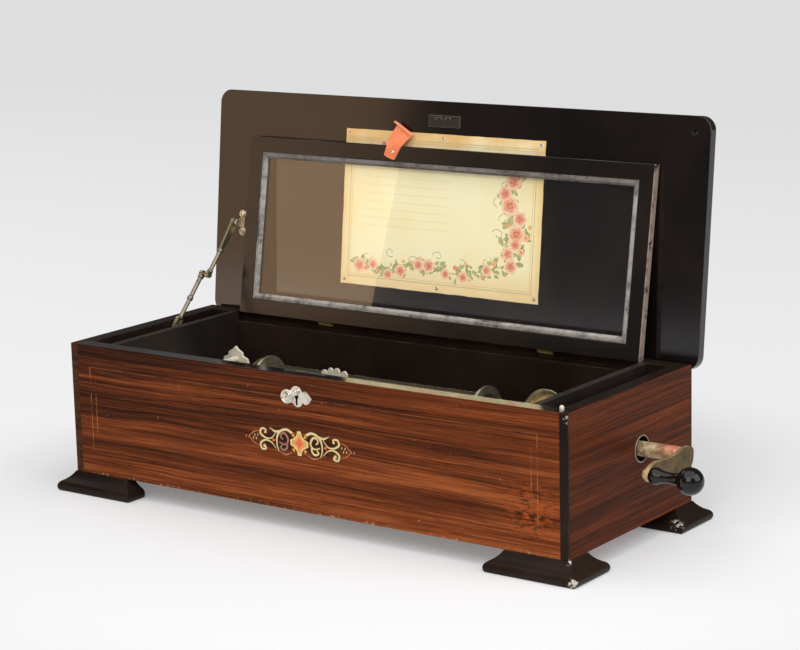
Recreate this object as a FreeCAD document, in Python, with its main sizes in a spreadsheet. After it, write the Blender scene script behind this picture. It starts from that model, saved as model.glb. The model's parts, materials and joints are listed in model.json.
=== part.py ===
import FreeCAD, Part
import Sketcher
import math
import os
import re

from FreeCAD import Placement, Rotation, Vector

# Wind-up cylinder music box. +X is the crank end, +Y the back, +Z up, and the
# origin lies on the table under the middle of the case.
doc = FreeCAD.newDocument("music_box")

# Driving sizes in millimetres and degrees.
sizes = {
    "caseWidth": 600,
    "caseDepth": 226,
    "caseHeight": 136,
    "wallThick": 16,
    "floorThick": 10,
    "veneerThick": 1,
    "partitionThick": 8,
    "bayWidth": 24,
    "cornerStrip": 9,
    "cornerReveal": 2,
    "footHeight": 20,
    "footLength": 99,
    "footBreadth": 62,
    "footFrontLeg": 26,
    "footEndLeg": 47,
    "footOverhang": 15.5,
    "footInset": 14.5,
    "lidThick": 12.5,
    "lidOverhang": 3,
    "lidTail": 8.5,
    "lidCorner": 14,
    "lidEdge": 3,
    "lidGap": 0.3,
    "lidHingeOut": 7,
    "lidAngle": 96.4,
    "lidHingeSpacing": 380,
    "lidHingeWidth": 46,
    "lidKnuckle": 3,
    "lidStud": 2.2,
    "glassSideGap": 2,
    "glassFrontGap": 11.2,
    "glassThick": 9,
    "glassTop": 1.2,
    "glassHingeIn": 7,
    "glassHingeDrop": 2.2,
    "glassLeanGap": 0.4,
    "glassRail": 16.5,
    "glassLip": 5,
    "lipThick": 3,
    "paneThick": 2.5,
    "stripWidth": 6.5,
    "stripThick": 2.8,
    "glassHingeSpacing": 276,
    "glassHingeWidth": 18,
    "glassKnuckle": 2,
    "glassLeafTall": 4.6,
    "tabAcross": -60.6,
    "tabWidth": 15,
    "tabThick": 1.6,
    "rebateDepth": 10.5,
    "rebateBack": 4.5,
    "tuneLeft": -129,
    "tuneWidth": 248.5,
    "tuneLow": 38.5,
    "paperThick": 0.4,
    "lockAcross": -4.4,
    "lockWidth": 52,
    "lockTall": 44,
    "lockThick": 8,
    "keyDrop": 21.4,
    "coverPivot": 4.8,
    "stayReach": 92,
    "stayDrop": 8,
    "stayWallGap": 3.5,
    "stayPlane": 6.5,
    "linkThick": 4,
    "linkEye": 5,
    "linkRod": 1.9,
    "stayPin": 2.5,
    "crankFromBack": 80,
    "crankDrop": 61.5,
    "crankShaft": 7.25,
    "crankHole": 12.5,
    "crankArm": 70,
    "crankOut": 45.5,
    "armThick": 4.5,
    "armDroop": 1.5,
    "handleBall": 12.7,
    "handleLength": 52.4,
    "spindle": 3,
    "running": 0.05,
    "bedDrop": 37.5,
    "bedThick": 7,
    "toothModule": 1,
    "greatTeeth": 84,
    "pinionTeeth": 18,
    "wheelTeeth": 48,
    "governorTeeth": 12,
    "wormWheelTeeth": 24,
    "wormModule": 0.8,
    "wormRoot": 1.8,
    "wormPitch": 3,
    "wormLength": 18,
    "cylinderRadius": 20,
    "cylinderDrop": 4,
    "cylinderFlange": 28.5,
    "cylinderArbor": 3,
    "drumRadius": 38,
    "drumLength": 48,
    "drumWall": 2.5,
    "windingArbor": 5,
    "cockThick": 6,
    "ratchetRadius": 16,
    "ratchetTeeth": 24,
    "ratchetThick": 4,
    "combThick": 3,
    "combPitch": 4,
    "combSlot": 1,
    "combDepth": 67,
    "combReach": 39,
    "combGap": 0.5,
    "zitherRise": 9.5,
    "zitherTall": 20,
    "zitherCrest": 12,
    "flyRadius": 13,
    "flyRise": 29,
    "leafRise": 41,
}

# Places that follow from the sizes, each worked out in its own cell.
places = {
    "rim": "footHeight + caseHeight",
    "floorTop": "footHeight + floorThick",
    "halfWidth": "caseWidth / 2",
    "halfDepth": "caseDepth / 2",
    "endInner": "halfWidth - wallThick",
    "sideInner": "halfDepth - wallThick",
    "stripInner": "halfWidth - cornerStrip",
    "halfBay": "endInner - bayWidth - partitionThick",
    "lidAxisY": "halfDepth + lidHingeOut",
    "lidAxisZ": "rim + lidGap",
    "lidWidth": "caseWidth + 2 * lidOverhang",
    "lidReach": "caseDepth + lidHingeOut + lidOverhang",
    "linkReach": "lidAxisY + sideInner - 1.5",
    "tuneTall": "linkReach - 13 - tuneLow",
    "glassAxisY": "halfDepth - glassHingeIn",
    "glassAxisZ": "rim - glassHingeDrop",
    "glassReach": "glassAxisY + sideInner - glassFrontGap",
    "glassWidth": "2 * (halfBay - glassSideGap)",
    "leanAcross": "(lidHingeOut + glassHingeIn) * sin(lidAngle)",
    "leanAlong": "(glassHingeDrop + lidGap) * cos(lidAngle)",
    "leanRoom": "leanAcross + leanAlong - glassTop - paperThick - glassLeanGap",
    "glassAngle": "lidAngle + asin(leanRoom / glassReach) / 1 deg",
    "keyHeight": "rim - keyDrop",
    "crankBack": "sideInner - crankFromBack",
    "crankHeight": "rim - crankDrop",
    "armStart": "halfWidth + crankOut",
    "bedTop": "crankHeight - bedDrop",
    "bedLeft": "16 - halfBay",
    "bedRight": "halfBay - 3",
    "bedBack": "sideInner - 5",
    "drumRight": "bedRight - 9",
    "drumLeft": "drumRight - drumLength",
    "rightCock": "drumRight + 2",
    "ratchetLeft": "drumLeft - 14",
    "cockLeft": "drumLeft - 22",
    "gearGap": "toothModule * (greatTeeth + pinionTeeth) / 2",
    "meshLean": "-asin(cylinderDrop / gearGap) / 1 deg",
    "cylinderY": "crankBack + sqrt(gearGap^2 - cylinderDrop^2)",
    "cylinderZ": "crankHeight - cylinderDrop",
    "cylinderLeft": "bedLeft + 51",
    "cylinderRight": "cockLeft - 80",
    "combTips": "cylinderY - cylinderRadius - combGap",
    "combFront": "combTips - combDepth",
    "combRoot": "combTips - combReach",
    "combLeft": "cylinderLeft + 1.5",
    "combTeeth": "floor((cylinderRight - cylinderLeft - 3) / combPitch)",
    "bedFront": "combFront - 12",
    "zitherY": "combTips - 35",
    "zitherZ": "cylinderZ + zitherRise",
    "zitherTop": "zitherZ + zitherTall",
    "zitherLeft": "cylinderLeft + 29",
    "zitherRight": "cockLeft - 10",
    "governorY": "cylinderY - toothModule * (wheelTeeth + governorTeeth) / 2",
    "wormX": "bedLeft + 24",
    "wormY": "governorY - wormModule * wormWheelTeeth / 2 - wormPitch",
}


def fill(name, cells):
    table = doc.addObject("Spreadsheet::Sheet", name)
    for row, (alias, value) in enumerate(cells.items(), start=1):
        table.set(f"A{row}", alias)
        table.set(f"B{row}", str(value))
        table.setAlias(f"B{row}", alias)
    doc.recompute()
    return {alias: float(table.get(alias)) for alias in cells}


def bound(text, own=False):
    def alias(found):
        word = found.group()
        if word in sizes:
            return f"Sizes.{word}"
        return f"Places.{word}" if word in places and not own else word

    return re.sub(r"[A-Za-z]\w*", alias, str(text))


s = fill("Sizes", sizes)
s.update(fill("Places", {alias: f"={bound(rule, True)}" for alias, rule in places.items()}))
axisZ = s["crankHeight"]
frontY = -s["halfDepth"]

parts = []


def part(piece, label):
    piece.Label = label
    parts.append(piece)
    return piece


# The ends of a span on one side of the middle, in rising order.
def sided(sign, near, far):
    return (near, far) if sign > 0 else (f"-{far}", f"-{near}")


def box(x, y, z):
    solid = doc.addObject("Part::Box", "block")
    for side, axis, (low, high) in zip(("Length", "Width", "Height"), "xyz", (x, y, z)):
        solid.setExpression(side, bound(f"({high}) - ({low})"))
        solid.setExpression(f"Placement.Base.{axis}", bound(low))
    return solid


axisTurns = {
    "x": Rotation(Vector(0, 1, 0), 90),
    "y": Rotation(Vector(1, 0, 0), -90),
    "z": Rotation(),
}


def rod(along, radius, span, centre):
    solid = doc.addObject("Part::Cylinder", "rod")
    solid.Placement = Placement(Vector(), axisTurns[along])
    solid.setExpression("Radius", bound(radius))
    solid.setExpression("Height", bound(f"({span[1]}) - ({span[0]})"))
    places = dict(zip([axis for axis in "xyz" if axis != along], centre))
    places[along] = span[0]
    for axis, place in places.items():
        solid.setExpression(f"Placement.Base.{axis}", bound(place))
    return solid


def dome(radius, centre):
    solid = doc.addObject("Part::Sphere", "dome")
    solid.setExpression("Radius", bound(radius))
    for axis, place in zip("xyz", centre):
        solid.setExpression(f"Placement.Base.{axis}", bound(place))
    return solid


def fuse(*pieces):
    result = doc.addObject("Part::MultiFuse", "joined")
    result.Shapes = list(pieces)
    result.Refine = True
    return result


def cut(base, *tools):
    result = doc.addObject("Part::Cut", "cut")
    result.Base = base
    result.Tool = tools[0] if len(tools) == 1 else fuse(*tools)
    return result


def group(pieces):
    result = doc.addObject("Part::Compound", "set")
    result.Links = list(pieces)
    return result


# A shape worked out point by point, kept as placed.
def shaped(shape):
    piece = doc.addObject("Part::Feature", "shape")
    piece.Shape = Part.Compound([shape])
    piece.Placement = Placement()
    return piece


# A piece modelled shut, with its hinge line as local X, stands open here.
def opened(piece, axis, angle):
    piece.Placement = Placement(Vector(), Rotation(Vector(-1, 0, 0), s[angle]))
    piece.setExpression("Placement.Base.y", bound(axis[0]))
    piece.setExpression("Placement.Base.z", bound(axis[1]))
    piece.setExpression("Placement.Rotation.Angle", bound(angle))
    return piece


def onLid(piece):
    return opened(piece, ("lidAxisY", "lidAxisZ"), "lidAngle")


def onGlass(piece):
    return opened(piece, ("glassAxisY", "glassAxisZ"), "glassAngle")


def originPlane(body, role):
    return next(item for item in body.Origin.OriginFeatures if item.Role == role)


# A rectangle on the XY plane, its four sides set from the sheet.
def rectangle(body, x, y, height):
    sketch = body.newObject("Sketcher::SketchObject", "outline")
    sketch.AttachmentSupport = [(originPlane(body, "XY_Plane"), "")]
    sketch.MapMode = "FlatFace"
    sketch.setExpression("AttachmentOffset.Base.z", bound(height))
    corners = [Vector(0, 0, 0), Vector(1, 0, 0), Vector(1, 1, 0), Vector(0, 1, 0)]
    for index in range(4):
        sketch.addGeometry(Part.LineSegment(corners[index], corners[(index + 1) % 4]))
    rules = [Sketcher.Constraint("Coincident", i, 2, (i + 1) % 4, 1) for i in range(4)]
    rules += [Sketcher.Constraint("Horizontal", i) for i in (0, 2)]
    rules += [Sketcher.Constraint("Vertical", i) for i in (1, 3)]
    sketch.addConstraint(rules)
    sides = (
        ("left", "DistanceX", 0, 1, x[0], 0),
        ("right", "DistanceX", 1, 2, x[1], 1),
        ("near", "DistanceY", 0, 1, y[0], 0),
        ("far", "DistanceY", 1, 2, y[1], 1),
    )
    for name, kind, line, end, place, start in sides:
        index = sketch.addConstraint(Sketcher.Constraint(kind, -1, 1, line, end, start))
        sketch.renameConstraint(index, name)
        sketch.setExpression(f"Constraints.{name}", bound(place))
    return sketch


def slab(x, y, z):
    body = doc.addObject("PartDesign::Body", "slab")
    pad = body.newObject("PartDesign::Pad", "thickness")
    pad.Profile = rectangle(body, x, y, z[0])
    pad.setExpression("Length", bound(f"({z[1]}) - ({z[0]})"))
    body.Tip = pad
    return body


# A window through a slab, cut downward from its top.
def window(body, x, y, top, depth):
    pocket = body.newObject("PartDesign::Pocket", "window")
    pocket.Profile = rectangle(body, x, y, top)
    pocket.setExpression("Length", bound(depth))
    body.Tip = pocket
    return pocket


def polygon(points):
    return Part.Face(Part.makePolygon(points + points[:1]))


# A flat plate across X, from its outline in the YZ plane.
def plateX(x, thick, outline):
    return polygon([Vector(x, y, z) for y, z in outline]).extrude(Vector(thick, 0, 0))


def rodX(radius, x, length, y, z):
    return Part.makeCylinder(radius, length, Vector(x, y, z), Vector(1, 0, 0))


# Involute spur wheel lying across X, with its teeth thinned for free running.
def gear(teeth, module, x, width, y, z, phase=0.0, addendum=0.8):
    pitch = module * teeth / 2
    base = pitch * math.cos(math.radians(20))
    involute = math.tan(math.radians(20)) - math.radians(20)

    def halfAngle(radius):
        lean = math.acos(base / max(radius, base))
        return 0.4 * math.pi / teeth + involute - (math.tan(lean) - lean)

    root = pitch - 1.15 * module
    tip = pitch + addendum * module
    flank = [root, pitch, tip]
    points = []
    for tooth in range(teeth):
        middle = 2 * math.pi * tooth / teeth + math.radians(phase)
        sides = [(r, -halfAngle(r)) for r in flank] + [(r, halfAngle(r)) for r in reversed(flank)]
        for radius, turn in sides:
            angle = middle + turn
            points.append(Vector(x, y + radius * math.cos(angle), z + radius * math.sin(angle)))
    return polygon(points).extrude(Vector(width, 0, 0))


# Brass stud in the front right corner of the rim; the lid is bored to close over it.
studPlace = ("endInner + 2.5", "-sideInner - 3.5")


# Keyhole through the front: a round hole with a slot below it.
def keyhole():
    depth = ("-halfDepth", "-sideInner")
    slot = box(("lockAcross - 1.5", "lockAcross + 1.5"), depth, ("keyHeight - 8.6", "keyHeight"))
    return fuse(rod("y", 3, depth, ("lockAcross", "keyHeight")), slot)


def case():
    upright = ("footHeight", "rim")
    lockBay = box(
        ("lockAcross - lockWidth / 2", "lockAcross + lockWidth / 2"),
        ("-sideInner - lockThick + 2", "-sideInner"),
        ("rim - lockTall", "rim"),
    )
    span = ("-stripInner", "stripInner")
    front = box(span, ("veneerThick - halfDepth", "-sideInner"), upright)
    studHole = rod("z", "lidStud", ("rim - 6", "rim"), studPlace)
    part(cut(front, keyhole(), lockBay, studHole), "case_front")
    peg = rod("z", "lidStud", ("rim - 6", "rim + 1.5"), studPlace)
    part(fuse(peg, dome("lidStud", (*studPlace, "rim + 1.5"))), "lid_stud")
    rebate = box(
        ("-halfBay", "halfBay"),
        ("sideInner", "halfDepth - rebateBack"),
        ("rim - rebateDepth", "rim"),
    )
    part(cut(box(span, ("sideInner", "halfDepth"), upright), rebate), "case_back")
    inside = ("-sideInner", "sideInner")
    left = box(("veneerThick - halfWidth", "-endInner"), inside, upright)
    part(left, "case_left_end")
    right = box(("endInner", "halfWidth - veneerThick"), inside, upright)
    hole = rod("x", "crankHole", ("endInner", "halfWidth"), ("crankBack", "crankHeight"))
    part(cut(right, hole), "case_right_end")
    floor = box(("-endInner", "endInner"), inside, ("footHeight", "floorTop"))
    part(floor, "case_bottom")

    bay = ("floorTop", "rim")
    part(box(("-halfBay - partitionThick", "-halfBay"), inside, bay), "left_partition")
    divider = box(("halfBay", "halfBay + partitionThick"), inside, bay)
    passage = rod(
        "x",
        "crankShaft + 2",
        ("halfBay", "halfBay + partitionThick"),
        ("crankBack", "crankHeight"),
    )
    part(cut(divider, passage), "right_partition")

    skin = box(span, ("-halfDepth", "veneerThick - halfDepth"), upright)
    part(cut(skin, keyhole()), "front_veneer")
    reveal = "(halfDepth - cornerReveal)"
    reach = (f"-{reveal}", reveal)
    leftSkin = box(("-halfWidth", "veneerThick - halfWidth"), reach, upright)
    rightSkin = box(("halfWidth - veneerThick", "halfWidth"), reach, upright)
    shaftHole = rod("x", "crankHole", ("endInner", "halfWidth"), ("crankBack", "crankHeight"))
    part(group([leftSkin, cut(rightSkin, shaftHole)]), "end_veneers")

    strips = []
    for x in (1, -1):
        for y in (1, -1):
            nose = box(sided(x, "stripInner", "halfWidth"), sided(y, reveal, "halfDepth"), upright)
            behind = sided(x, "stripInner", "(halfWidth - veneerThick)")
            strips.append(fuse(nose, box(behind, sided(y, "sideInner", reveal), upright)))
    part(group(strips), "corner_strips")

    ledge = "(glassAxisZ + glassTop - glassThick)"
    shelf = "(glassAxisY - glassReach)"
    seat = ((f"{shelf} - 4", f"{shelf} + 14"), (f"{ledge} - 12", f"{ledge} - lidGap"))
    rests = [box(sided(x, "(halfBay - 12)", "halfBay"), *seat) for x in (-1, 1)]
    for across in ("bedLeft + 20", "bedRight - 90"):
        under = ("floorTop", "bedTop - bedThick")
        rests.append(box((across, f"{across} + 22"), ("bedFront", "bedBack"), under))
    part(group(rests), "inner_battens")


# Foot moulding in one direction: a hollow under the case and a rounded toe, on both ends.
def footProfile(half):
    tall = s["footHeight"]
    inset = s["footInset"]

    def side(sign):
        def at(inward, height):
            return Vector(sign * (half - inward), 0, height * tall)

        toe = Part.Arc(at(1.8, 0), at(0, 0.24), at(3.2, 0.5))
        hollow = Part.Arc(at(3.2, 0.5), at(inset * 0.65, 0.7), at(inset, 1))
        return [toe.toShape(), hollow.toShape()]

    top = Part.makeLine(Vector(half - inset, 0, tall), Vector(inset - half, 0, tall))
    sole = Part.makeLine(Vector(half - 1.8, 0, 0), Vector(1.8 - half, 0, 0))
    return Part.Face(Part.Wire(Part.__sortEdges__(side(1) + side(-1) + [top, sole])))


# Bracket feet: two moulded legs meeting under each corner of the case.
def feet():
    length = s["footLength"]
    breadth = s["footBreadth"]
    along = footProfile(length / 2)
    along.translate(Vector(0, -breadth / 2, 0))
    across = footProfile(breadth / 2)
    across.rotate(Vector(), Vector(0, 0, 1), 90)
    across.translate(Vector(-length / 2, 0, 0))
    block = along.extrude(Vector(0, breadth, 0)).common(across.extrude(Vector(length, 0, 0)))
    x = s["halfWidth"] + s["footOverhang"] - length / 2
    y = s["halfDepth"] + s["footOverhang"] - breadth / 2
    openX = length - s["footEndLeg"]
    openY = breadth - s["footFrontLeg"]
    blocks = []
    for right in (-1, 1):
        for back in (-1, 1):
            cornerX = -length / 2 if right > 0 else length / 2 - openX
            cornerY = -breadth / 2 if back > 0 else breadth / 2 - openY
            hollow = Part.makeBox(openX, openY, s["footHeight"], Vector(cornerX, cornerY, 0))
            foot = doc.addObject("Part::Feature", "foot")
            foot.Shape = block.cut(hollow)
            foot.Placement = Placement(Vector(right * x, back * y, 0), Rotation())
            blocks.append(foot)
    part(group(blocks), "feet")


def edgeNames(shape, wanted):
    return [f"Edge{index}" for index, edge in enumerate(shape.Edges, start=1) if wanted(edge)]


def hingePlaces(spacing):
    return (f"-{spacing} / 2", f"{spacing} / 2")


def lid():
    half = "(lidWidth / 2)"
    board = slab((f"-{half}", half), ("-lidReach", "lidTail"), ("0", "lidThick"))
    doc.recompute()
    pad = board.Tip
    uprights = edgeNames(pad.Shape, lambda edge: abs(edge.Vertexes[0].Z - edge.Vertexes[-1].Z) > 1)
    corners = board.newObject("PartDesign::Fillet", "corners")
    corners.Base = (pad, uprights)
    corners.setExpression("Radius", bound("lidCorner"))
    board.Tip = corners
    doc.recompute()
    upper = max(corners.Shape.Faces, key=lambda face: face.CenterOfMass.z)
    rounded = board.newObject("PartDesign::Fillet", "edge_round")
    outline = edgeNames(corners.Shape, lambda edge: any(edge.isSame(side) for side in upper.Edges))
    rounded.Base = (corners, outline)
    rounded.setExpression("Radius", bound("lidEdge"))
    board.Tip = rounded

    notches = []
    caseLeaves = []
    lidLeaves = []
    width = "lidHingeWidth"
    third = "(lidHingeWidth / 3)"
    leafSeat = "(lidKnuckle + 0.3)"
    for middle in hingePlaces("lidHingeSpacing"):
        low = f"({middle} - {width} / 2)"
        high = f"({middle} + {width} / 2)"
        across = ("-lidHingeOut", "lidTail")
        notches.append(box((f"{low} - 0.5", f"{high} + 0.5"), across, ("0", f"{leafSeat} + 1.5")))
        leaf = box((low, high), across, (leafSeat, f"{leafSeat} + 1.5"))
        centre = (f"{low} + {third} + 0.2", f"{high} - {third} - 0.2")
        barrel = rod("x", "lidKnuckle", centre, ("0", "0"))
        web = box(centre, ("-1.5", "1.5"), ("0", f"{leafSeat} + 0.5"))
        bore = rod("x", "lidKnuckle / 2 + running", (low, high), ("0", "0"))
        lidLeaves.append(cut(fuse(leaf, barrel, web), bore))
        y, z = "lidAxisY", "lidAxisZ"
        ends = ((low, f"{low} + {third}"), (f"{high} - {third}", high))
        knuckles = [rod("x", "lidKnuckle", end, (y, z)) for end in ends]
        arms = [box(end, ("halfDepth", y), (f"{z} - lidKnuckle - 1.5", f"{z} - 1.5")) for end in ends]
        plate = box((low, high), ("halfDepth", "halfDepth + 2"), (f"{z} - 30", f"{z} - lidKnuckle - 0.5"))
        pin = rod("x", "lidKnuckle / 2", (low, high), (y, z))
        caseLeaves.append(fuse(plate, pin, *knuckles, *arms))
    linkSpan = (("lockAcross - 20", "lockAcross + 19"), ("-linkReach - 6", "-linkReach + 6"), ("0", "1.5"))
    studSeat = rod("z", "lidStud + 0.8", ("0", "6"), (studPlace[0], f"{studPlace[1]} - lidAxisY"))
    part(onLid(cut(board, box(*linkSpan), studSeat, *notches)), "lid")
    part(onLid(group(lidLeaves)), "lid_hinge_leaves")
    part(group(caseLeaves), "lid_hinge_case_leaves")

    staples = [
        box((start, f"{start} + 3"), ("-linkReach - 4", "-linkReach - 2"), ("-8", "0.5"))
        for start in ("lockAcross - 7", "lockAcross + 4")
    ]
    part(onLid(fuse(box(*linkSpan), *staples)), "lock_link_plate")

    sheetSpan = ("tuneLeft", "tuneLeft + tuneWidth")
    sheetRise = ("-tuneLow - tuneTall", "-tuneLow")
    part(onLid(slab(sheetSpan, sheetRise, ("-paperThick", "0"))), "tune_sheet")
    tacks = []
    for x in ("tuneLeft + 5", "tuneLeft + tuneWidth / 2", "tuneLeft + tuneWidth - 5"):
        for y in ("-tuneLow - 5", "-tuneLow - tuneTall + 5"):
            tacks.append(rod("z", 2, ("-paperThick - 0.4", "-paperThick"), (x, y)))
    part(onLid(group(tacks)), "tune_sheet_tacks")

    inner = "(-endInner + stayWallGap + stayPlane + linkThick)"
    bracketX = (f"{inner} + 1.5", f"{inner} + 10")
    foot = box(bracketX, ("-stayReach - 14", "-stayReach + 14"), ("-2.5", "0"))
    post = box(
        (f"{inner} + 1.5", f"{inner} + 4"),
        ("-stayReach - 5", "-stayReach + 5"),
        ("-stayDrop - 4", "0"),
    )
    pivot = rod("x", "stayPin", (f"{inner} - linkThick", f"{inner} + 2"), ("-stayReach", "-stayDrop"))
    part(onLid(fuse(foot, post, pivot)), "stay_bracket")


# Two-link folding stay, straight while the lid is open: a turned lower link with a slotted
# eye, and an upper link that flattens out toward its bracket.
def stay():
    turn = math.radians(s["lidAngle"])
    low = Vector(0, s["lidAxisY"] - s["stayReach"], s["lidAxisZ"] - s["stayDrop"])
    high = Vector(
        0,
        s["lidAxisY"] - s["stayReach"] * math.cos(turn) - s["stayDrop"] * math.sin(turn),
        s["lidAxisZ"] + s["stayReach"] * math.sin(turn) - s["stayDrop"] * math.cos(turn),
    )
    along = high - low
    length = along.Length / 2
    lean = math.degrees(math.atan2(along.z, along.y))
    thick = s["linkThick"]
    rodRadius = s["linkRod"]
    eye = s["linkEye"]
    hole = s["stayPin"] + s["running"]

    def disc(radius, y):
        return rodX(radius, -thick / 2, thick, y, 0)

    def turnedRod(start, end):
        return Part.makeCylinder(rodRadius, end - start, Vector(0, start, 0), Vector(0, 1, 0))

    def knop(y):
        return Part.makeSphere(rodRadius + 1.2, Vector(0, y, 0))

    slot = 9
    cheek = eye - 0.6
    loop = plateX(-thick / 2, thick, [(0, -cheek), (slot, -cheek), (slot, cheek), (0, cheek)])
    opening = plateX(-thick / 2, thick, [(0, -hole), (slot, -hole), (slot, hole), (0, hole)])
    lower = turnedRod(slot, length).fuse([disc(cheek, 0), loop, disc(cheek, slot), knop(length * 0.54)])
    lower = lower.fuse(disc(eye - 1.2, length)).cut(opening.fuse([disc(hole, 0), disc(hole, slot)]))
    flat = 0.46 * length
    blade = plateX(-1.5, 3, [(flat, -rodRadius), (length, -eye), (length, eye), (flat, rodRadius)])
    upper = turnedRod(0, flat).fuse([disc(eye - 1.2, 0), knop(flat), blade, disc(eye, length)])
    upper = upper.cut(disc(hole, length))

    wall = -s["endInner"]
    lowerX = wall + s["stayWallGap"]
    slope = Rotation(Vector(1, 0, 0), lean)
    lowerLink = shaped(lower.removeSplitter())
    lowerLink.Placement = Placement(Vector(lowerX, low.y, low.z), slope)
    part(lowerLink, "stay_lower_link")
    elbow = low + along / 2
    upperLink = shaped(upper.removeSplitter())
    upperLink.Placement = Placement(Vector(lowerX + s["stayPlane"] + thick / 2, elbow.y, elbow.z), slope)
    part(upperLink, "stay_upper_link")
    screw = rodX(s["stayPin"], wall, s["stayWallGap"] + thick / 2, low.y, low.z)
    part(shaped(screw), "stay_screw")


# A mitred rail of a rectangular frame: points are (inward, height) from the outer edge.
def mitredRail(length, outline):
    ends = [
        [Vector(sign * (length / 2 - inward), inward, height) for inward, height in outline]
        for sign in (-1, 1)
    ]
    faces = [polygon(end) for end in ends]
    count = len(outline)
    for index in range(count):
        after = (index + 1) % count
        faces.append(polygon([ends[0][index], ends[0][after], ends[1][after], ends[1][index]]))
    return Part.Solid(Part.Shell(faces))


# Four rails round a rectangle that reaches from the hinge line toward the front.
def railSet(outline, inset=0.0):
    width = s["glassWidth"] - 2 * inset
    reach = s["glassReach"] - 2 * inset
    rails = []
    for length, angle, place in (
        (width, 0, Vector(0, -s["glassReach"] + inset, 0)),
        (width, 180, Vector(0, -inset, 0)),
        (reach, 90, Vector(width / 2, -s["glassReach"] / 2, 0)),
        (reach, -90, Vector(-width / 2, -s["glassReach"] / 2, 0)),
    ):
        rail = mitredRail(length, outline)
        rail.rotate(Vector(), Vector(0, 0, 1), angle)
        rail.translate(place)
        rails.append(rail)
    return rails


def glassLid():
    top = s["glassTop"]
    bottom = top - s["glassThick"]
    rail = s["glassRail"]
    lip = rail + s["glassLip"]
    under = top - s["lipThick"]
    rails = railSet([(0, bottom), (rail, bottom), (rail, under), (lip, under), (lip, top), (0, top)])
    caseLeaves = []
    lidLeaves = []
    notches = []
    width = "glassHingeWidth"
    third = "(glassHingeWidth / 3)"
    y, z = "glassAxisY", "glassAxisZ"
    seat = "(glassKnuckle + 0.3)"
    wall = "(glassHingeIn - rebateBack)"
    for middle in hingePlaces("glassHingeSpacing"):
        low = f"({middle} - {width} / 2)"
        high = f"({middle} + {width} / 2)"
        depth = ("glassTop - glassLeafTall - 0.2", "glassTop")
        notches.append(box((f"{low} - 0.5", f"{high} + 0.5"), (f"-{seat} - 1.3", "1"), depth))
        leaf = box((low, high), (f"-{seat} - 1.3", f"-{seat}"), ("glassTop - glassLeafTall", "glassTop"))
        centre = (f"{low} + {third} + 0.2", f"{high} - {third} - 0.2")
        barrel = rod("x", "glassKnuckle", centre, ("0", "0"))
        web = box(centre, (f"-{seat} - 0.2", "0"), ("-1", "1"))
        bore = rod("x", "glassKnuckle / 2 + running", (low, high), ("0", "0"))
        lidLeaves.append(cut(fuse(leaf, barrel, web), bore))
        ends = ((low, f"{low} + {third}"), (f"{high} - {third}", high))
        knuckles = [rod("x", "glassKnuckle", end, (y, z)) for end in ends]
        arms = [box(end, (y, f"{y} + {wall}"), (f"{z} - glassKnuckle - 1", z)) for end in ends]
        plate = box(
            (low, high),
            (f"{y} + {wall} - 1.2", f"{y} + {wall}"),
            ("rim - rebateDepth", f"{z} - glassKnuckle - 0.3"),
        )
        pin = rod("x", "glassKnuckle / 2", (low, high), (y, z))
        caseLeaves.append(fuse(plate, pin, *knuckles, *arms))
    frontRail, backRail, rightRail, leftRail = [shaped(solid) for solid in rails]
    frame = group([frontRail, cut(backRail, *notches), rightRail, leftRail])
    part(onGlass(frame), "glass_lid_frame")
    part(onGlass(group(lidLeaves)), "glass_hinge_leaves")
    part(group(caseLeaves), "glass_hinge_case_leaves")

    pane = box(
        ("glassRail + 0.5 - glassWidth / 2", "glassWidth / 2 - glassRail - 0.5"),
        ("glassRail + 0.5 - glassReach", "-glassRail - 0.5"),
        ("glassTop - lipThick - paneThick", "glassTop - lipThick"),
    )
    part(onGlass(group([pane])), "glass_pane")
    face = top - s["lipThick"] - s["paneThick"]
    deep = face - s["stripThick"]
    outline = [(0, deep), (s["stripWidth"] * 0.6, deep), (s["stripWidth"], face), (0, face)]
    strips = [shaped(solid) for solid in railSet(outline, rail)]
    part(onGlass(group(strips)), "glazing_strips")

    # Leather tab pinned to the front rail and curling past its edge.
    edge = -s["glassReach"]
    thick = s["tabThick"]
    x = s["tabAcross"]
    middle = [(14, -thick / 2), (-2, -thick / 2), (-9, 1.2), (-15, 3.6), (-21, 5)]
    outer = [(edge + y, bottom + z - thick / 2) for y, z in middle]
    inner = [(edge + y, bottom + z + thick / 2) for y, z in reversed(middle)]
    tab = plateX(x - s["tabWidth"] / 2, s["tabWidth"], outer + inner)
    pinY = edge + 7
    tab.rotate(Vector(x, pinY, 0), Vector(0, 0, 1), 20)
    part(onGlass(shaped(tab)), "pull_tab")
    head = Part.makeCylinder(2, 0.8, Vector(x, pinY, bottom - thick - 0.8))
    part(onGlass(shaped(head)), "pull_tab_pin")


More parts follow.
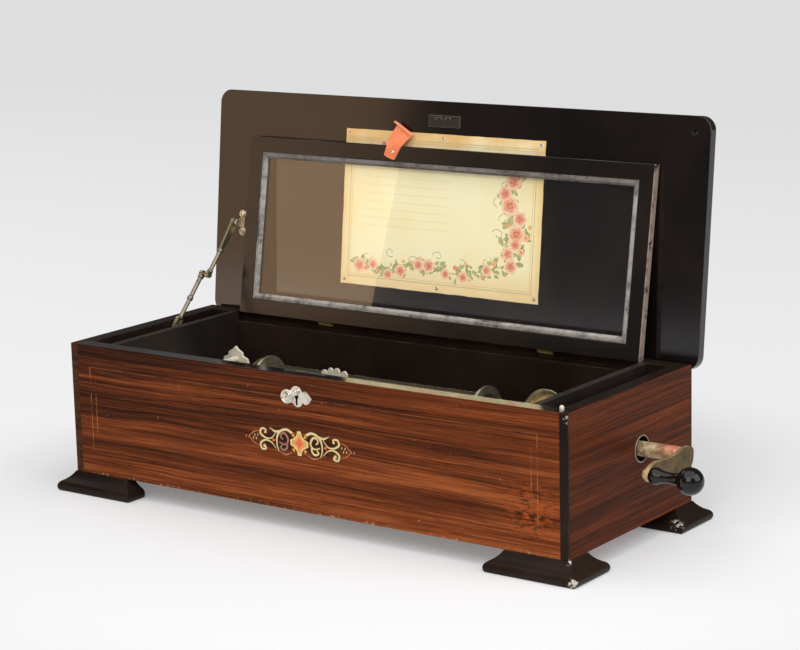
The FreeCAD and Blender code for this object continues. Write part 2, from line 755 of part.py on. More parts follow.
def lock():
    body = box(
        ("lockAcross - lockWidth / 2", "lockAcross + lockWidth / 2"),
        ("-sideInner - lockThick + 2", "-sideInner + 2"),
        ("rim - lockTall", "rim - 0.5"),
    )
    linkY = "(lidAxisY - linkReach - 3)"
    slot = box(
        ("lockAcross - 12", "lockAcross + 12"),
        (f"{linkY} - 2", f"{linkY} + 2"),
        ("rim - 14", "rim"),
    )
    part(cut(body, slot), "lock_body")

    x = s["lockAcross"]
    z = s["keyHeight"]
    back = Vector(0, -1, 0)

    def spot(dx, dz, rise=0.0):
        return Vector(x + dx, frontY - rise, z + dz)

    def disc(radius, dx, dz, rise, thick):
        return Part.makeCylinder(radius, thick, spot(dx, dz, rise), back)

    def turned(profile, dx, dz):
        outline = [spot(dx + radius, dz, rise) for radius, rise in profile]
        return polygon(outline).revolve(spot(dx, dz), back, 360)

    # Plate of round lobes and a pointed leaf, with the rivet that the cover hangs on.
    upper = [(7, 4.4), (10.7, 6.4), (14.4, 4.1), (18.1, 0.2)]
    lower = [(18.1, 0.2), (15.3, -4.3), (11.6, -6.5), (7, -4.4)]
    outline = [Part.makeLine(spot(*lower[-1]), spot(*upper[0]))]
    for side in (upper, lower):
        curve = Part.BSplineCurve()
        curve.interpolate([spot(*place) for place in side])
        outline.append(curve.toShape())
    leaf = Part.Face(Part.Wire(outline)).extrude(back * 1.2)
    lobes = [disc(r, dx, dz, 0, 1.2) for r, dx, dz in ((6.2, 1, -3.8), (6.5, -7, 0), (6, 4, 0))]
    plate = disc(6.9, 0, 3.9, 0, 1.2).fuse(lobes + [leaf])
    keySlot = disc(2.3, 0, 0, 0, 2).fuse(Part.makeBox(2.2, 2, 8.2, spot(-1.1, -8.2, 2)))
    hang = s["coverPivot"]
    rivet = turned([(0, 1), (1.2, 1), (1.2, 3.3), (2.3, 3.3), (2.3, 3.7), (1.6, 4.4), (0, 4.7)], 0, hang)
    part(shaped(plate.cut(keySlot).fuse(rivet).removeSplitter()), "escutcheon")

    # Cover swung aside on the rivet: a ringed disc with a dome in it, a neck and an eye.
    swing = Vector(-11.3, 0, -5.4)
    cap = [(math.radians(turn), 4.6) for turn in range(90, -1, -18)]
    cap = [(reach * math.sin(turn), 2.4 + 1.3 * math.cos(turn)) for turn, reach in cap]
    ring = [(0, 1.5), (7.2, 1.5), (7.2, 2.4), (6.7, 3), (5.8, 3), (5.3, 2.4)]
    cover = turned(ring + cap, swing.x, hang + swing.z)
    eye = spot(0, hang, 1.5)
    half = Vector(swing.z, 0, -swing.x) * (2.6 / swing.Length)
    reach = eye + swing * 0.55
    neck = polygon([eye + half, reach + half, reach - half, eye - half]).extrude(back * 1.2)
    cover = cover.fuse([disc(3.2, 0, hang, 1.5, 1.5), neck])
    cover = cover.cut(disc(1.2 + s["running"], 0, hang, 1, 3))
    part(shaped(cover.removeSplitter()), "keyhole_cover")


def crank():
    y = s["crankBack"]
    shaft = s["crankShaft"]
    core = s["windingArbor"]
    arm = s["armStart"]
    armEnd = arm + s["armThick"]
    socket = s["armThick"] * 0.65
    step = s["rightCock"] + s["cockThick"] + 0.5
    start = s["cockLeft"] - 2
    arbor = rodX(core, start, step - start, y, axisZ)
    arbor = arbor.fuse(rodX(shaft, step, arm + socket - step, y, axisZ))
    part(shaped(arbor), "crank_shaft")

    wall = s["halfWidth"]
    sleeve = rodX(s["crankHole"], wall - s["wallThick"], s["wallThick"], y, axisZ)
    flange = rodX(s["crankHole"] + 0.7, wall, 0.7, y, axisZ)
    bore = rodX(s["crankHole"] - 1, wall - s["wallThick"], s["wallThick"] + 2, y, axisZ)
    part(shaped(sleeve.fuse(flange).cut(bore).removeSplitter()), "crank_bush")

    # Flat arm with a full belly under the shaft, riveted over the handle's spindle.
    droop = math.radians(s["armDroop"])
    reach = s["crankArm"]
    endY = y - reach * math.cos(droop)
    endZ = axisZ - reach * math.sin(droop)
    upper = [(9.2, 0), (7, 6.4), (0, 9), (-14, 8.4), (-0.6 * reach, 7), (-reach, 6.8)]
    lower = [(-reach - 6.6, 0), (-reach, -6.8), (-0.7 * reach, -7.4)]
    lower += [(-0.3 * reach, -10.5), (-4, -12.5), (6, -9.5)]
    edge = Part.BSplineCurve()
    sag = math.tan(droop)
    edge.interpolate([Vector(arm, y + a, axisZ + b + a * sag) for a, b in upper + lower], PeriodicFlag=True)
    plate = Part.Face(Part.Wire(edge.toShape())).extrude(Vector(s["armThick"], 0, 0))
    plate = plate.cut(rodX(shaft, arm, socket, y, axisZ))
    pegEnd = armEnd + s["handleLength"] - 9
    rivet = rodX(4.6, arm - 2.5, 2.5, endY, endZ)
    peg = rodX(s["spindle"], arm, pegEnd - arm, endY, endZ)
    part(shaped(plate.fuse([rivet, peg]).removeSplitter()), "crank_arm")

    # Turned handle: ferrule, waisted neck and ball, bored for the spindle.
    first = armEnd + 0.3
    last = first + s["handleLength"]
    ball = s["handleBall"]
    centre = last - ball
    neck = 6.2
    seat = centre - math.sqrt(ball**2 - neck**2)
    inner = s["spindle"] + s["running"]
    ground = pegEnd + 0.3

    def at(x, r):
        return Vector(x, r, 0)

    outline = [
        Part.makeLine(at(first, inner), at(first, 6.4)),
        Part.Arc(at(first, 6.4), at(first + 4.5, 8), at(first + 9, 6.6)).toShape(),
        Part.Arc(at(first + 9, 6.6), at((first + 9 + seat) / 2, 5.2), at(seat, neck)).toShape(),
        Part.Arc(at(seat, neck), at(centre, ball), at(last, 0)).toShape(),
        Part.makeLine(at(last, 0), at(ground, 0)),
        Part.makeLine(at(ground, 0), at(ground, inner)),
        Part.makeLine(at(ground, inner), at(first, inner)),
    ]
    handle = Part.Face(Part.Wire(outline)).revolve(Vector(), Vector(1, 0, 0), 360)
    handle.translate(Vector(0, endY, endZ))
    part(shaped(handle), "crank_handle")

    count = int(s["ratchetTeeth"])
    points = []
    for tooth in range(count):
        angle = 2 * math.pi * tooth / count
        for radius, turn in ((s["ratchetRadius"], 0), (s["ratchetRadius"] - 2.5, 0.02)):
            points.append((y + radius * math.cos(angle + turn), axisZ + radius * math.sin(angle + turn)))
    wheel = plateX(s["ratchetLeft"], s["ratchetThick"], points)
    part(shaped(wheel.cut(rodX(core, s["ratchetLeft"], s["ratchetThick"], y, axisZ))), "ratchet_wheel")


clickAngle = math.radians(40)
clickPivot = (s["crankBack"] + 26, s["crankHeight"] + 17)


def barrel():
    y = s["crankBack"]
    core = s["windingArbor"] + s["running"]
    left = s["drumLeft"]
    right = s["drumRight"]
    wall = s["drumWall"]
    radius = s["drumRadius"]
    drum = rodX(radius, left, right - left - wall, y, axisZ)
    drum = drum.cut(rodX(radius - wall, left + wall, right - left, y, axisZ))
    part(shaped(drum.cut(rodX(core, left, wall, y, axisZ))), "spring_barrel")
    cover = rodX(radius + 1.5, right - wall, wall, y, axisZ)
    part(shaped(cover.cut(rodX(core, right - wall, wall, y, axisZ))), "barrel_cover")
    wheel = gear(int(s["greatTeeth"]), s["toothModule"], left - 6, 6, y, axisZ, s["meshLean"])
    part(shaped(wheel.cut(rodX(core, left - 6, 6, y, axisZ))), "great_wheel")

    # Mainspring: half turns about two centres, so that each turn lies outside the last.
    strip = 1.0
    step = 2.0
    first = s["windingArbor"] + 1.5
    turns = int((radius - wall - first - strip - 0.5) / step)
    width = right - left - 2 * wall - 0.6
    x = left + wall + 0.3
    inner = []
    outer = []
    for half in range(turns):
        sign = 1 if half % 2 == 0 else -1
        centre = Vector(x, y + (0 if half % 2 == 0 else step), axisZ)
        near = first + half * step
        for edges, r in ((inner, near), (outer, near + strip)):
            ends = [centre + Vector(0, d * r, 0) for d in (1, -1)]
            if sign < 0:
                ends.reverse()
            edges.append(Part.Arc(ends[0], centre + Vector(0, 0, sign * r), ends[1]))
    close = [
        Part.makeLine(inner[0].StartPoint, outer[0].StartPoint),
        Part.makeLine(inner[-1].EndPoint, outer[-1].EndPoint),
    ]
    wire = Part.Wire(Part.__sortEdges__([arc.toShape() for arc in inner + outer] + close))
    part(shaped(Part.Face(wire).extrude(Vector(width, 0, 0))), "mainspring")

    base = s["bedTop"]
    thick = s["cockThick"]
    x = s["cockLeft"]
    far = s["cylinderY"]
    shoulder = [(far + 13, axisZ + 12), (far - 8, axisZ + 24), (y + 6, axisZ + 24), (y - 16, axisZ + 12)]
    plate = plateX(x, thick, [(y - 22, base), (far + 22, base)] + shoulder)
    pivot = s["cylinderArbor"] + s["running"]
    plate = plate.cut(rodX(core, x, thick, y, axisZ).fuse(rodX(pivot, x, thick, far, s["cylinderZ"])))
    stud = rodX(1.5, x, s["ratchetLeft"] + s["ratchetThick"] - x + 1, *clickPivot)
    near = s["rightCock"]
    outline = [(y - 26, base), (y + 26, base), (y + 13, axisZ + 15), (y - 13, axisZ + 15)]
    second = plateX(near, thick, outline).cut(rodX(core, near, thick, y, axisZ))
    cocks = [shaped(plate.fuse(stud)), shaped(second)]
    part(group(cocks), "barrel_cocks")

    # The click's nose rides just over the tips of the ratchet teeth.
    reach = s["ratchetRadius"] + 0.35
    nose = (y + reach * math.cos(clickAngle), axisZ + reach * math.sin(clickAngle))
    pivotY, pivotZ = clickPivot
    body = plateX(
        s["ratchetLeft"],
        s["ratchetThick"],
        [nose, (pivotY + 1, pivotZ - 4), (pivotY + 4, pivotZ + 3), (pivotY - 1, pivotZ + 4)],
    )
    eye = rodX(4.2, s["ratchetLeft"], s["ratchetThick"], pivotY, pivotZ)
    hole = rodX(1.5 + s["running"], s["ratchetLeft"], s["ratchetThick"], pivotY, pivotZ)
    part(shaped(body.fuse(eye).cut(hole).removeSplitter()), "click")


def cylinder():
    left = s["cylinderLeft"]
    right = s["cylinderRight"]
    y = s["cylinderY"]
    z = s["cylinderZ"]
    core = s["cylinderArbor"]
    tube = rodX(s["cylinderRadius"], left, right - left, y, z)
    flanges = [rodX(s["cylinderFlange"], x, 3, y, z) for x in (left - 3, right)]
    body = tube.fuse(flanges).cut(rodX(core, left - 3, right - left + 6, y, z))
    part(shaped(body.removeSplitter()), "cylinder")

    wheelX = left - 13
    wheel = gear(int(s["wheelTeeth"]), s["toothModule"], wheelX, 6, y, z)
    part(shaped(wheel.cut(rodX(core, wheelX, 6, y, z))), "cylinder_wheel")
    teeth = int(s["pinionTeeth"])
    pinion = gear(teeth, s["toothModule"], s["drumLeft"] - 8, 10, y, z, 180 / teeth + s["meshLean"])
    start = wheelX - 11
    arbor = rodX(core, start, s["drumLeft"] + 4 - start, y, z)
    part(shaped(arbor.fuse(pinion).removeSplitter()), "cylinder_arbor")

    foot = 14
    crown = 8
    outline = [(y - foot, s["bedTop"]), (y + foot, s["bedTop"]), (y + crown, z + 9), (y - crown, z + 9)]
    blocks = []
    for x in (start, right + 10):
        block = plateX(x, 7, outline)
        blocks.append(shaped(block.cut(rodX(core + s["running"], x, 7, y, z))))
    part(group(blocks), "cylinder_bearings")


def comb():
    width = "(combTeeth * combPitch)"
    span = ("combLeft", f"combLeft + {width}")
    under = "(cylinderZ - combThick)"
    body = slab(span, ("combFront", "combTips"), (under, "cylinderZ"))
    first = "(combLeft + combPitch - combSlot / 2)"
    across = (first, f"{first} + combSlot")
    slot = window(body, across, ("combRoot", "combTips + 1"), "cylinderZ", "combThick")
    row = body.newObject("PartDesign::LinearPattern", "teeth")
    row.Originals = [slot]
    row.Direction = (slot.Profile[0], ["H_Axis"])
    row.setExpression("Length", bound("combPitch * (combTeeth - 2)"))
    row.setExpression("Occurrences", bound("combTeeth - 1"))
    body.Tip = row
    part(body, "comb")
    part(box(span, ("combFront + 2", "combRoot"), ("bedTop", under)), "comb_base")
    screws = [
        rod("z", 4, ("cylinderZ", "cylinderZ + 3"), (f"combLeft + {width} * {step} / 18", "combFront + 10"))
        for step in range(3, 18, 2)
    ]
    part(group(screws), "comb_screws")


# Tilting bar with a paper roll that can be laid on the comb teeth, set by a crested lever.
def zither():
    y = s["zitherY"]
    z = s["zitherZ"]
    left = s["zitherLeft"]
    right = s["zitherRight"]
    top = s["zitherTop"]
    length = right - left
    bar = Part.makeBox(length, 4, top - z + 4, Vector(left, y - 2, z - 4))
    web = Part.makeBox(length, 16, 2, Vector(left, y, z - 2))
    lugs = [Part.makeBox(5, 10, 10, Vector(x, y - 5, z - 5)) for x in (left, right - 5)]
    bar = bar.fuse([web] + lugs)
    for x in (left, right - 6):
        bar = bar.cut(rodX(2 + s["running"], x, 6, y, z))
    part(shaped(bar.removeSplitter()), "zither_bar")
    start = left + 6
    end = s["combLeft"] + s["combTeeth"] * s["combPitch"]
    part(shaped(rodX(3.5, start, end - start, y + 19.6, z - 1)), "zither_roll")

    # Crest of round lobes on a stem, each lobe given as (across, share of its height, radius).
    tall = s["zitherCrest"]
    middle = left + 0.32 * length
    crest = Part.makeBox(30, 2, tall * 0.55, Vector(middle - 15, y - 1, top))
    for across, share, radius in ((-13, 0.45, 3.5), (-5, 0.7, 3.2), (3, 0.7, 3.6), (12, 0.5, 4)):
        centre = Vector(middle + across, y - 1, top + tall * share)
        crest = crest.fuse(Part.makeCylinder(radius, 2, centre, Vector(0, 1, 0)))
    part(shaped(crest.removeSplitter()), "zither_lever")

    comb = s["cylinderZ"]
    low = s["combFront"] + 2
    arm = [(y + 5, z - 5), (y + 5, z + 5), (y - 12, z + 5)]
    near = [(y - 12, comb + 3), (low, comb + 3), (low, comb), (y - 6, comb), (y - 6, z - 5)]
    far = [(y - 12, s["bedTop"]), (y - 2, s["bedTop"]), (y - 2, z - 5)]
    brackets = []
    for x, outline, peg in ((left - 7, arm + near, left - 2), (right + 2, arm + far, right - 4)):
        stud = rodX(2, peg - 1, 7, y, z)
        brackets.append(shaped(plateX(x, 5, outline).fuse(stud).removeSplitter()))
    part(group(brackets), "zither_brackets")


def governor():
    x = s["wormX"]
    y = s["governorY"]
    z = s["cylinderZ"]
    flyY = s["wormY"]
    pin = 1.5
    base = s["bedTop"]
    pinionX = s["cylinderLeft"] - 14
    teeth = int(s["governorTeeth"])
    pinion = gear(teeth, s["toothModule"], pinionX, 8, y, z, 180 / teeth)
    wheel = gear(int(s["wormWheelTeeth"]), s["wormModule"], x - 1.5, 3, y, z, 0, 0.7)
    arbor = rodX(pin, x - 10, pinionX + 8 - x + 10, y, z)
    part(shaped(arbor.fuse([pinion, wheel]).removeSplitter()), "governor_arbor")

    seat = z + 9
    outline = [(flyY - 6, base), (y + 10, base), (y + 10, seat), (y - 8, seat)]
    plates = [plateX(px, 4, outline) for px in (x - 10, x + 6)]
    frame = Part.makeBox(20, y + 16 - flyY, 4, Vector(x - 10, flyY - 6, base)).fuse(plates)
    footHole = Part.makeCylinder(1.2 + s["running"], 3, Vector(x, flyY, base + 1))
    frame = frame.cut(footHole.fuse(rodX(pin + s["running"], x - 10, 20, y, z)))
    part(shaped(frame.removeSplitter()), "governor_frame")

    # Fly: a thin shaft with the worm's root low on it and two vanes at the top.
    armTop = z + s["flyRise"]
    reach = s["flyRadius"]
    vaneTall = 12
    vaneLow = armTop - 4.5 - vaneTall
    shaft = Part.makeCylinder(1.2, armTop - 1.5 - base - 1.5, Vector(x, flyY, base + 1.5))
    worm = Part.makeCylinder(s["wormRoot"], s["wormLength"], Vector(x, flyY, z - s["wormLength"] / 2))
    hub = Part.makeCylinder(3, vaneTall - 2, Vector(x, flyY, vaneLow + 1))
    vane = Part.makeBox(2 * reach, 0.8, vaneTall, Vector(x - reach, flyY - 0.4, vaneLow))
    part(shaped(shaft.fuse([worm, hub, vane]).removeSplitter()), "governor_fly")

    # Leaf-shaped cock standing behind the fly, with an arm over its upper pivot.
    back = y + 6
    tall = s["leafRise"] - 9
    side = [(13, 0.14), (12, 0.32), (17, 0.47), (16, 0.6), (10, 0.68), (9, 0.8), (3.5, 0.9)]
    leaf = [(-10, 0), (10, 0)] + side + [(0, 1)] + [(-a, b) for a, b in reversed(side)]
    plate = polygon([Vector(x + a, back, seat + b * tall) for a, b in leaf]).extrude(Vector(0, 3, 0))
    arm = Part.makeBox(8, back + 3 - flyY + 5, 3, Vector(x - 4, flyY - 5, armTop - 3))
    cock = plate.fuse(arm).cut(Part.makeCylinder(1.2 + s["running"], 3, Vector(x, flyY, armTop - 3)))
    part(shaped(cock.removeSplitter()), "governor_cock")


def bedplate():
    bed = slab(("bedLeft", "bedRight"), ("bedFront", "bedBack"), ("bedTop - bedThick", "bedTop"))
    room = "(toothModule * (greatTeeth / 2 + 3))"
    window(
        bed,
        ("drumLeft - 9", "rightCock - 1"),
        (f"crankBack - {room}", f"crankBack + {room}"),
        "bedTop",
        "bedThick",
    )
    part(bed, "bedplate")


case()
feet()
lid()
stay()
glassLid()
lock()
crank()
barrel()
cylinder()
comb()
zither()
governor()
bedplate()
doc.recompute()

faults = [item.Label for item in doc.Objects if {"Invalid", "Error"} & set(item.State)]
for piece in parts:
    if piece.Shape.isNull() or not piece.Shape.isValid() or not piece.Shape.Solids:
        faults.append(piece.Label)
if faults:
    raise SystemExit(f"not made: {faults}")
os.makedirs("parts", exist_ok=True)
for piece in parts:
    piece.Shape.exportStep(f"parts/{piece.Label}.step")
print(len(parts), "parts")
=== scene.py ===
import json
import math
import random

import bmesh
import bpy
from mathutils import Matrix, Vector, noise


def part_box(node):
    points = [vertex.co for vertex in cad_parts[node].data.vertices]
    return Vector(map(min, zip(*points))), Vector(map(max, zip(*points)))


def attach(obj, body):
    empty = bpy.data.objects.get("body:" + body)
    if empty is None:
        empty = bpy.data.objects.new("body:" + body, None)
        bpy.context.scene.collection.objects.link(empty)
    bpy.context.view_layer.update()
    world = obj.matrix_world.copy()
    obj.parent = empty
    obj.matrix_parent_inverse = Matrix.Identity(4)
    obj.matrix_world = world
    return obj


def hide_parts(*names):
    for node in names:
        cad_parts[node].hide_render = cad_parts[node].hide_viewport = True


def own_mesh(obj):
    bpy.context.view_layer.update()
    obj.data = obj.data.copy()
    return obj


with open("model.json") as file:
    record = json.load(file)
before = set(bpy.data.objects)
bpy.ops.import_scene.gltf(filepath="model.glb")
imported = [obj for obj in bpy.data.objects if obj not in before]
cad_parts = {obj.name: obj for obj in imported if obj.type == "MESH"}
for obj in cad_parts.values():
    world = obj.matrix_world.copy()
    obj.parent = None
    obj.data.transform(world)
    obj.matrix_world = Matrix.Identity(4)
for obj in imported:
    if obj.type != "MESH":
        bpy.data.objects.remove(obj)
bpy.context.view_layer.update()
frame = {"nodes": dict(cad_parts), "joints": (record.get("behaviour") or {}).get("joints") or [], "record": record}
nodes = frame["nodes"]
joints = {joint["name"]: joint for joint in frame["joints"]}
bodyOf = {}
for body, members in frame["record"]["behaviour"]["bodies"].items():
    for member in members:
        bodyOf[member] = body
slotOf = {row["node"]: row["material_slot"] for row in frame["record"]["subparts"]}
mm = 0.001
print("frame:", len(nodes), "nodes")


def metres(sizes):
    return [size * mm for size in sizes]


# A shader value. Arithmetic on it adds Math nodes.
class Field:
    def __init__(self, tree, socket=None):
        self.tree = tree
        self.socket = socket

    # Any node: its settings first, then the values or links of its sockets.
    def make(self, kind, sockets=None, settings=None, output=0):
        node = self.tree.nodes.new(kind)
        for name, value in (settings or {}).items():
            if name == "stops":
                elements = node.color_ramp.elements
                while len(elements) < len(value):
                    elements.new(0.5)
                for element, (at, colour) in zip(elements, value):
                    element.position = at
                    element.color = colour
            else:
                setattr(node, name, value)
        for key, value in (sockets or {}).items():
            if isinstance(value, Field):
                self.tree.links.new(value.socket, node.inputs[key])
            else:
                node.inputs[key].default_value = value
        return Field(self.tree, node.outputs[output])

    def maths(self, operation, *values):
        return self.make("ShaderNodeMath", dict(enumerate(values)), {"operation": operation})

    def __add__(self, other):
        return self.maths("ADD", self, other)

    __radd__ = __add__

    def __sub__(self, other):
        return self.maths("SUBTRACT", self, other)

    def __rsub__(self, other):
        return self.maths("SUBTRACT", other, self)

    def __mul__(self, other):
        return self.maths("MULTIPLY", self, other)

    __rmul__ = __mul__

    def __abs__(self):
        return self.maths("ABSOLUTE", self)

    def most(self, other):
        return self.maths("MAXIMUM", self, other)

    # 0 at low, 1 at high, eased between them.
    def fade(self, low, high):
        sockets = {"Value": self, "From Min": low, "From Max": high}
        return self.make("ShaderNodeMapRange", sockets, {"interpolation_type": "SMOOTHSTEP"})

    # A soft line: 1 to about a third of its width either side of a place, 0 from three quarters.
    def line(self, at, width):
        return abs(self - at).fade(width * 0.75, width * 0.35)

    def within(self, low, high, soft):
        return self.fade(low - soft, low) * self.fade(high + soft, high)

    def axis(self, name):
        return self.make("ShaderNodeSeparateXYZ", {0: self}, output=name)

    def vectors(self, operation, other, output=0):
        sockets = {0: self, 1: other}
        return self.make("ShaderNodeVectorMath", sockets, {"operation": operation}, output)

    def stretch(self, x, y, z):
        return self.vectors("MULTIPLY", (x, y, z))

    def shift(self, **amounts):
        return self.vectors("ADD", self.make("ShaderNodeCombineXYZ", amounts))

    def away(self, spot):
        return self.vectors("DISTANCE", spot, "Value")

    # Distance from a joint's axis, where that runs across the box.
    def fromAxis(self, joint):
        _, y, z = joints[joint]["pos_m"]
        return self.stretch(0, 1, 1).away((0, y, z))

    # How far along a direction this point lies.
    def along(self, direction):
        return self.vectors("DOT_PRODUCT", direction, "Value")

    def noise(self, scale=1.0, detail=3.0, rough=0.5, distort=0.0):
        sockets = {"Vector": self, "Scale": scale, "Detail": detail}
        sockets.update({"Roughness": rough, "Distortion": distort})
        return self.make("ShaderNodeTexNoise", sockets)

    def cells(self, scale):
        sockets = {"Vector": self, "Scale": scale}
        return self.make("ShaderNodeTexVoronoi", sockets, output="Distance")

    def ramp(self, *stops):
        return self.make("ShaderNodeValToRGB", {0: self}, {"stops": stops})

    # A colour: first where this is 0, second where it is 1.
    def between(self, first, second):
        sockets = {0: self, 6: first, 7: second}
        return self.make("ShaderNodeMix", sockets, {"data_type": "RGBA"}, 2)

    def bump(self, strength, depth):
        sockets = {"Height": self, "Strength": strength, "Distance": depth}
        return self.make("ShaderNodeBump", sockets, output="Normal")

    def attribute(self, name, output="Fac"):
        return self.make("ShaderNodeAttribute", {}, {"attribute_name": name}, output)

    def facing(self, name):
        return abs(self.make("ShaderNodeNewGeometry", output="Normal").axis(name))


# A colour as it looks on screen, 0 to 255, in the renderer's own units.
def tint(red, green, blue):
    shares = [channel / 255 for channel in (red, green, blue)]
    return tuple(v / 12.92 if v <= 0.04 else ((v + 0.055) / 1.055) ** 2.4 for v in shares) + (1.0,)


def finish(name, build, **fixed):
    material = bpy.data.materials.new(name)
    material.use_nodes = True
    tree = material.node_tree
    shader = tree.nodes["Principled BSDF"]
    for socket, value in fixed.items():
        shader.inputs[socket.replace("_", " ")].default_value = value
    place = Field(tree).make("ShaderNodeTexCoord", output="Object")
    for socket, value in build(place).items():
        tree.links.new(value.socket, shader.inputs[socket])
    return material


ebonyLook = {
    "black": tint(16, 12, 11),
    "brown": tint(31, 22, 18),
    "worn": tint(27, 19, 15),
    "wornBrown": tint(46, 34, 27),
    "rubbed": tint(86, 72, 60),
    "chip": tint(204, 194, 182),
    "chipped": [  # places knocked bare, in metres, and how far round them
        ((0.3002, -0.1136, 0.019), 0.004),
        ((0.3125, -0.1262, 0.005), 0.006),
        ((0.2995, -0.1125, 0.150), 0.005),
        ((0.3085, 0.0668, 0.010), 0.010),
    ],
    "polished": (-0.25, -0.16),  # where the front rim's polish begins, in metres across
    "browned": (-0.2, -0.28),  # where the corner beads turn brown
    "bead": (tint(52, 28, 16), tint(84, 48, 27)),
    "paleReach": (0.9, 0.4),  # in from the right end of the glass lid's frame, in millimetres
    "paleEnd": tint(158, 138, 126),
}
wornTones = ("worn", "wornBrown")


# Ebonised and polished wood, rubbed brown along its edges and chipped in a few places.
def ebonise(gloss, wear, tones=("black", "brown")):
    def build(place):
        cloud = place.noise(9, 4, 0.6)
        hairline = place.stretch(26, 380, 380).noise(1, 3, 0.55).fade(0.62, 0.8)
        edge = place.attribute("edge")
        nick = place.noise(230, 4, 0.65)
        rubbed = edge * place.noise(34, 3).fade(0.45, 0.75) * wear
        chip = edge * nick.fade(0.69, 0.75) * place.noise(17, 2).fade(0.5, 0.62) * wear
        for spot, reach in ebonyLook["chipped"]:
            chip = chip.most(place.away(spot).fade(reach, reach * 0.5) * nick.fade(0.5, 0.57))
        colour = cloud.fade(0.3, 0.75).between(ebonyLook[tones[0]], ebonyLook[tones[1]])
        colour = (rubbed * 0.7).between(colour, ebonyLook["rubbed"])
        colour = chip.between(colour, ebonyLook["chip"])
        return {
            "Base Color": colour,
            "Roughness": gloss + cloud * gloss * 0.6 + hairline * 0.05 + chip * 0.4,
            "Normal": (place.noise(60, 3) * 0.3 + hairline * 0.1 - chip).bump(gloss, 0.0003),
        }

    return build


# Front rim: brightly polished but for its dull left end.
def rimWood(place):
    look = ebonise(0.09, 0.3)(place)
    bright = place.axis("X").fade(*ebonyLook["polished"])
    look["Coat Weight"] = bright
    look["Roughness"] = look["Roughness"] + (1 - bright) * 0.3
    return look


# Corner beads: black at the right of the front, left brown at its left.
def cornerWood(place):
    look = ebonise(0.24, 0.8, wornTones)(place)
    dark, light = ebonyLook["bead"]
    brown = place.stretch(30, 30, 200).noise(1, 3).ramp((0.3, dark), (0.7, light))
    left = place.axis("X").fade(*ebonyLook["browned"])
    look["Base Color"] = left.between(look["Base Color"], brown)
    return look


# Frame of the glass lid: its right end turns pale grey.
def frameWood(place):
    look = ebonise(0.16, 0.8)(place)
    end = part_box("glass_lid_frame")[1].x
    first, last = [end - reach * mm for reach in ebonyLook["paleReach"]]
    worn = place.axis("X").fade(first, last) * place.noise(90, 4, 0.7).fade(0.3, 0.5)
    look["Base Color"] = (worn * 0.9).between(look["Base Color"], ebonyLook["paleEnd"])
    return look


rosewoodLook = {
    "dark": tint(33, 17, 11),
    "brown": tint(70, 35, 19),
    "red": tint(112, 55, 27),
    "light": tint(160, 88, 46),
    "pore": tint(27, 14, 9),
    "frontTone": 0.06,
    "lidTone": -0.08,
    "endTone": -0.21,
    "endFigure": 0.6,  # how strongly the figure shows at the ends
    "wander": 0.012,  # how far the streaks stray up and down
    "paintedLightToRight": 0.3833,  # painted light: how much the veneer lightens toward the right, per metre
    "lower": 2.8,  # painted light: how much the front lightens toward its foot, per metre
    "middle": 0.085,  # height at which it is neither lighter nor darker
}


# Rosewood veneer: wandering dark streaks, fine grain and open pores along the board, with painted light that
# lightens it toward the right and toward its foot.
def rosewood(place, tone, lower=0.0, figure=1.0):
    wander = place.stretch(3.2, 3.2, 12).noise(1, 3) - 0.5
    board = place.shift(Z=wander * rosewoodLook["wander"])
    broad = board.stretch(0.9, 0.9, 30).noise(1, 3, 0.55).fade(0.34, 0.66)
    streak = board.stretch(2.6, 2.6, 128).noise(1, 4, 0.62).fade(0.3, 0.7)
    fine = board.stretch(9, 9, 560).noise(1, 4, 0.65).fade(0.3, 0.7)
    pore = board.stretch(60, 60, 2100).noise(1, 3, 0.6)
    vein = board.stretch(1.3, 1.3, 150).noise(1, 5, 0.72, 0.4).fade(0.54, 0.63)
    # Painted light: the veneer lightens toward the right, and the front toward its foot.
    paintedLightAcross = place.axis("X") * rosewoodLook["paintedLightToRight"]
    foot = (rosewoodLook["middle"] - place.axis("Z")) * lower
    grain = broad * 0.3 + streak * 0.34 + fine * 0.36
    level = (grain - 0.5) * figure + paintedLightAcross + foot + (tone + 0.5)
    colour = level.ramp(
        (0.1, rosewoodLook["dark"]),
        (0.36, rosewoodLook["brown"]),
        (0.62, rosewoodLook["red"]),
        (0.95, rosewoodLook["light"]),
    )
    colour = (vein * (0.52 * figure)).between(colour, rosewoodLook["dark"])
    colour = (pore.fade(0.57, 0.66) * 0.55).between(colour, rosewoodLook["pore"])
    return {
        "Base Color": colour,
        "Roughness": 0.27 + pore * 0.12 + broad * 0.05,
        "Normal": (fine * 0.5 + pore * 0.5).bump(0.1, 0.0003),
    }


# Worn pale stringing let into the front: two uprights joined by a fainter line along the top, with a short line
# inside each end.
stringing = {
    "left": -275.0,
    "right": 267.7,
    "top": 133.0,
    "bottom": 40.0,
    "inset": 6.7,
    "width": 0.75,
    "colour": tint(188, 116, 66),
    "scuff": tint(186, 138, 96),
    "sore": ((0.261, -0.113, 0.06), 0.04),  # patch where the polish has gone
    "soreColour": tint(166, 74, 30),
    "mastic": [  # dark ground between the scrolls of the inlay
        ((-0.0232, -0.1135, 0.0895), 0.0145),
        ((0.0155, -0.1135, 0.0895), 0.0145),
        ((-0.039, -0.1135, 0.0885), 0.0115),
        ((0.0315, -0.1135, 0.0885), 0.0115),
    ],
    "masticColour": tint(42, 24, 12),
    "chafed": (24.5, 20.5),  # the worn lower edge
}


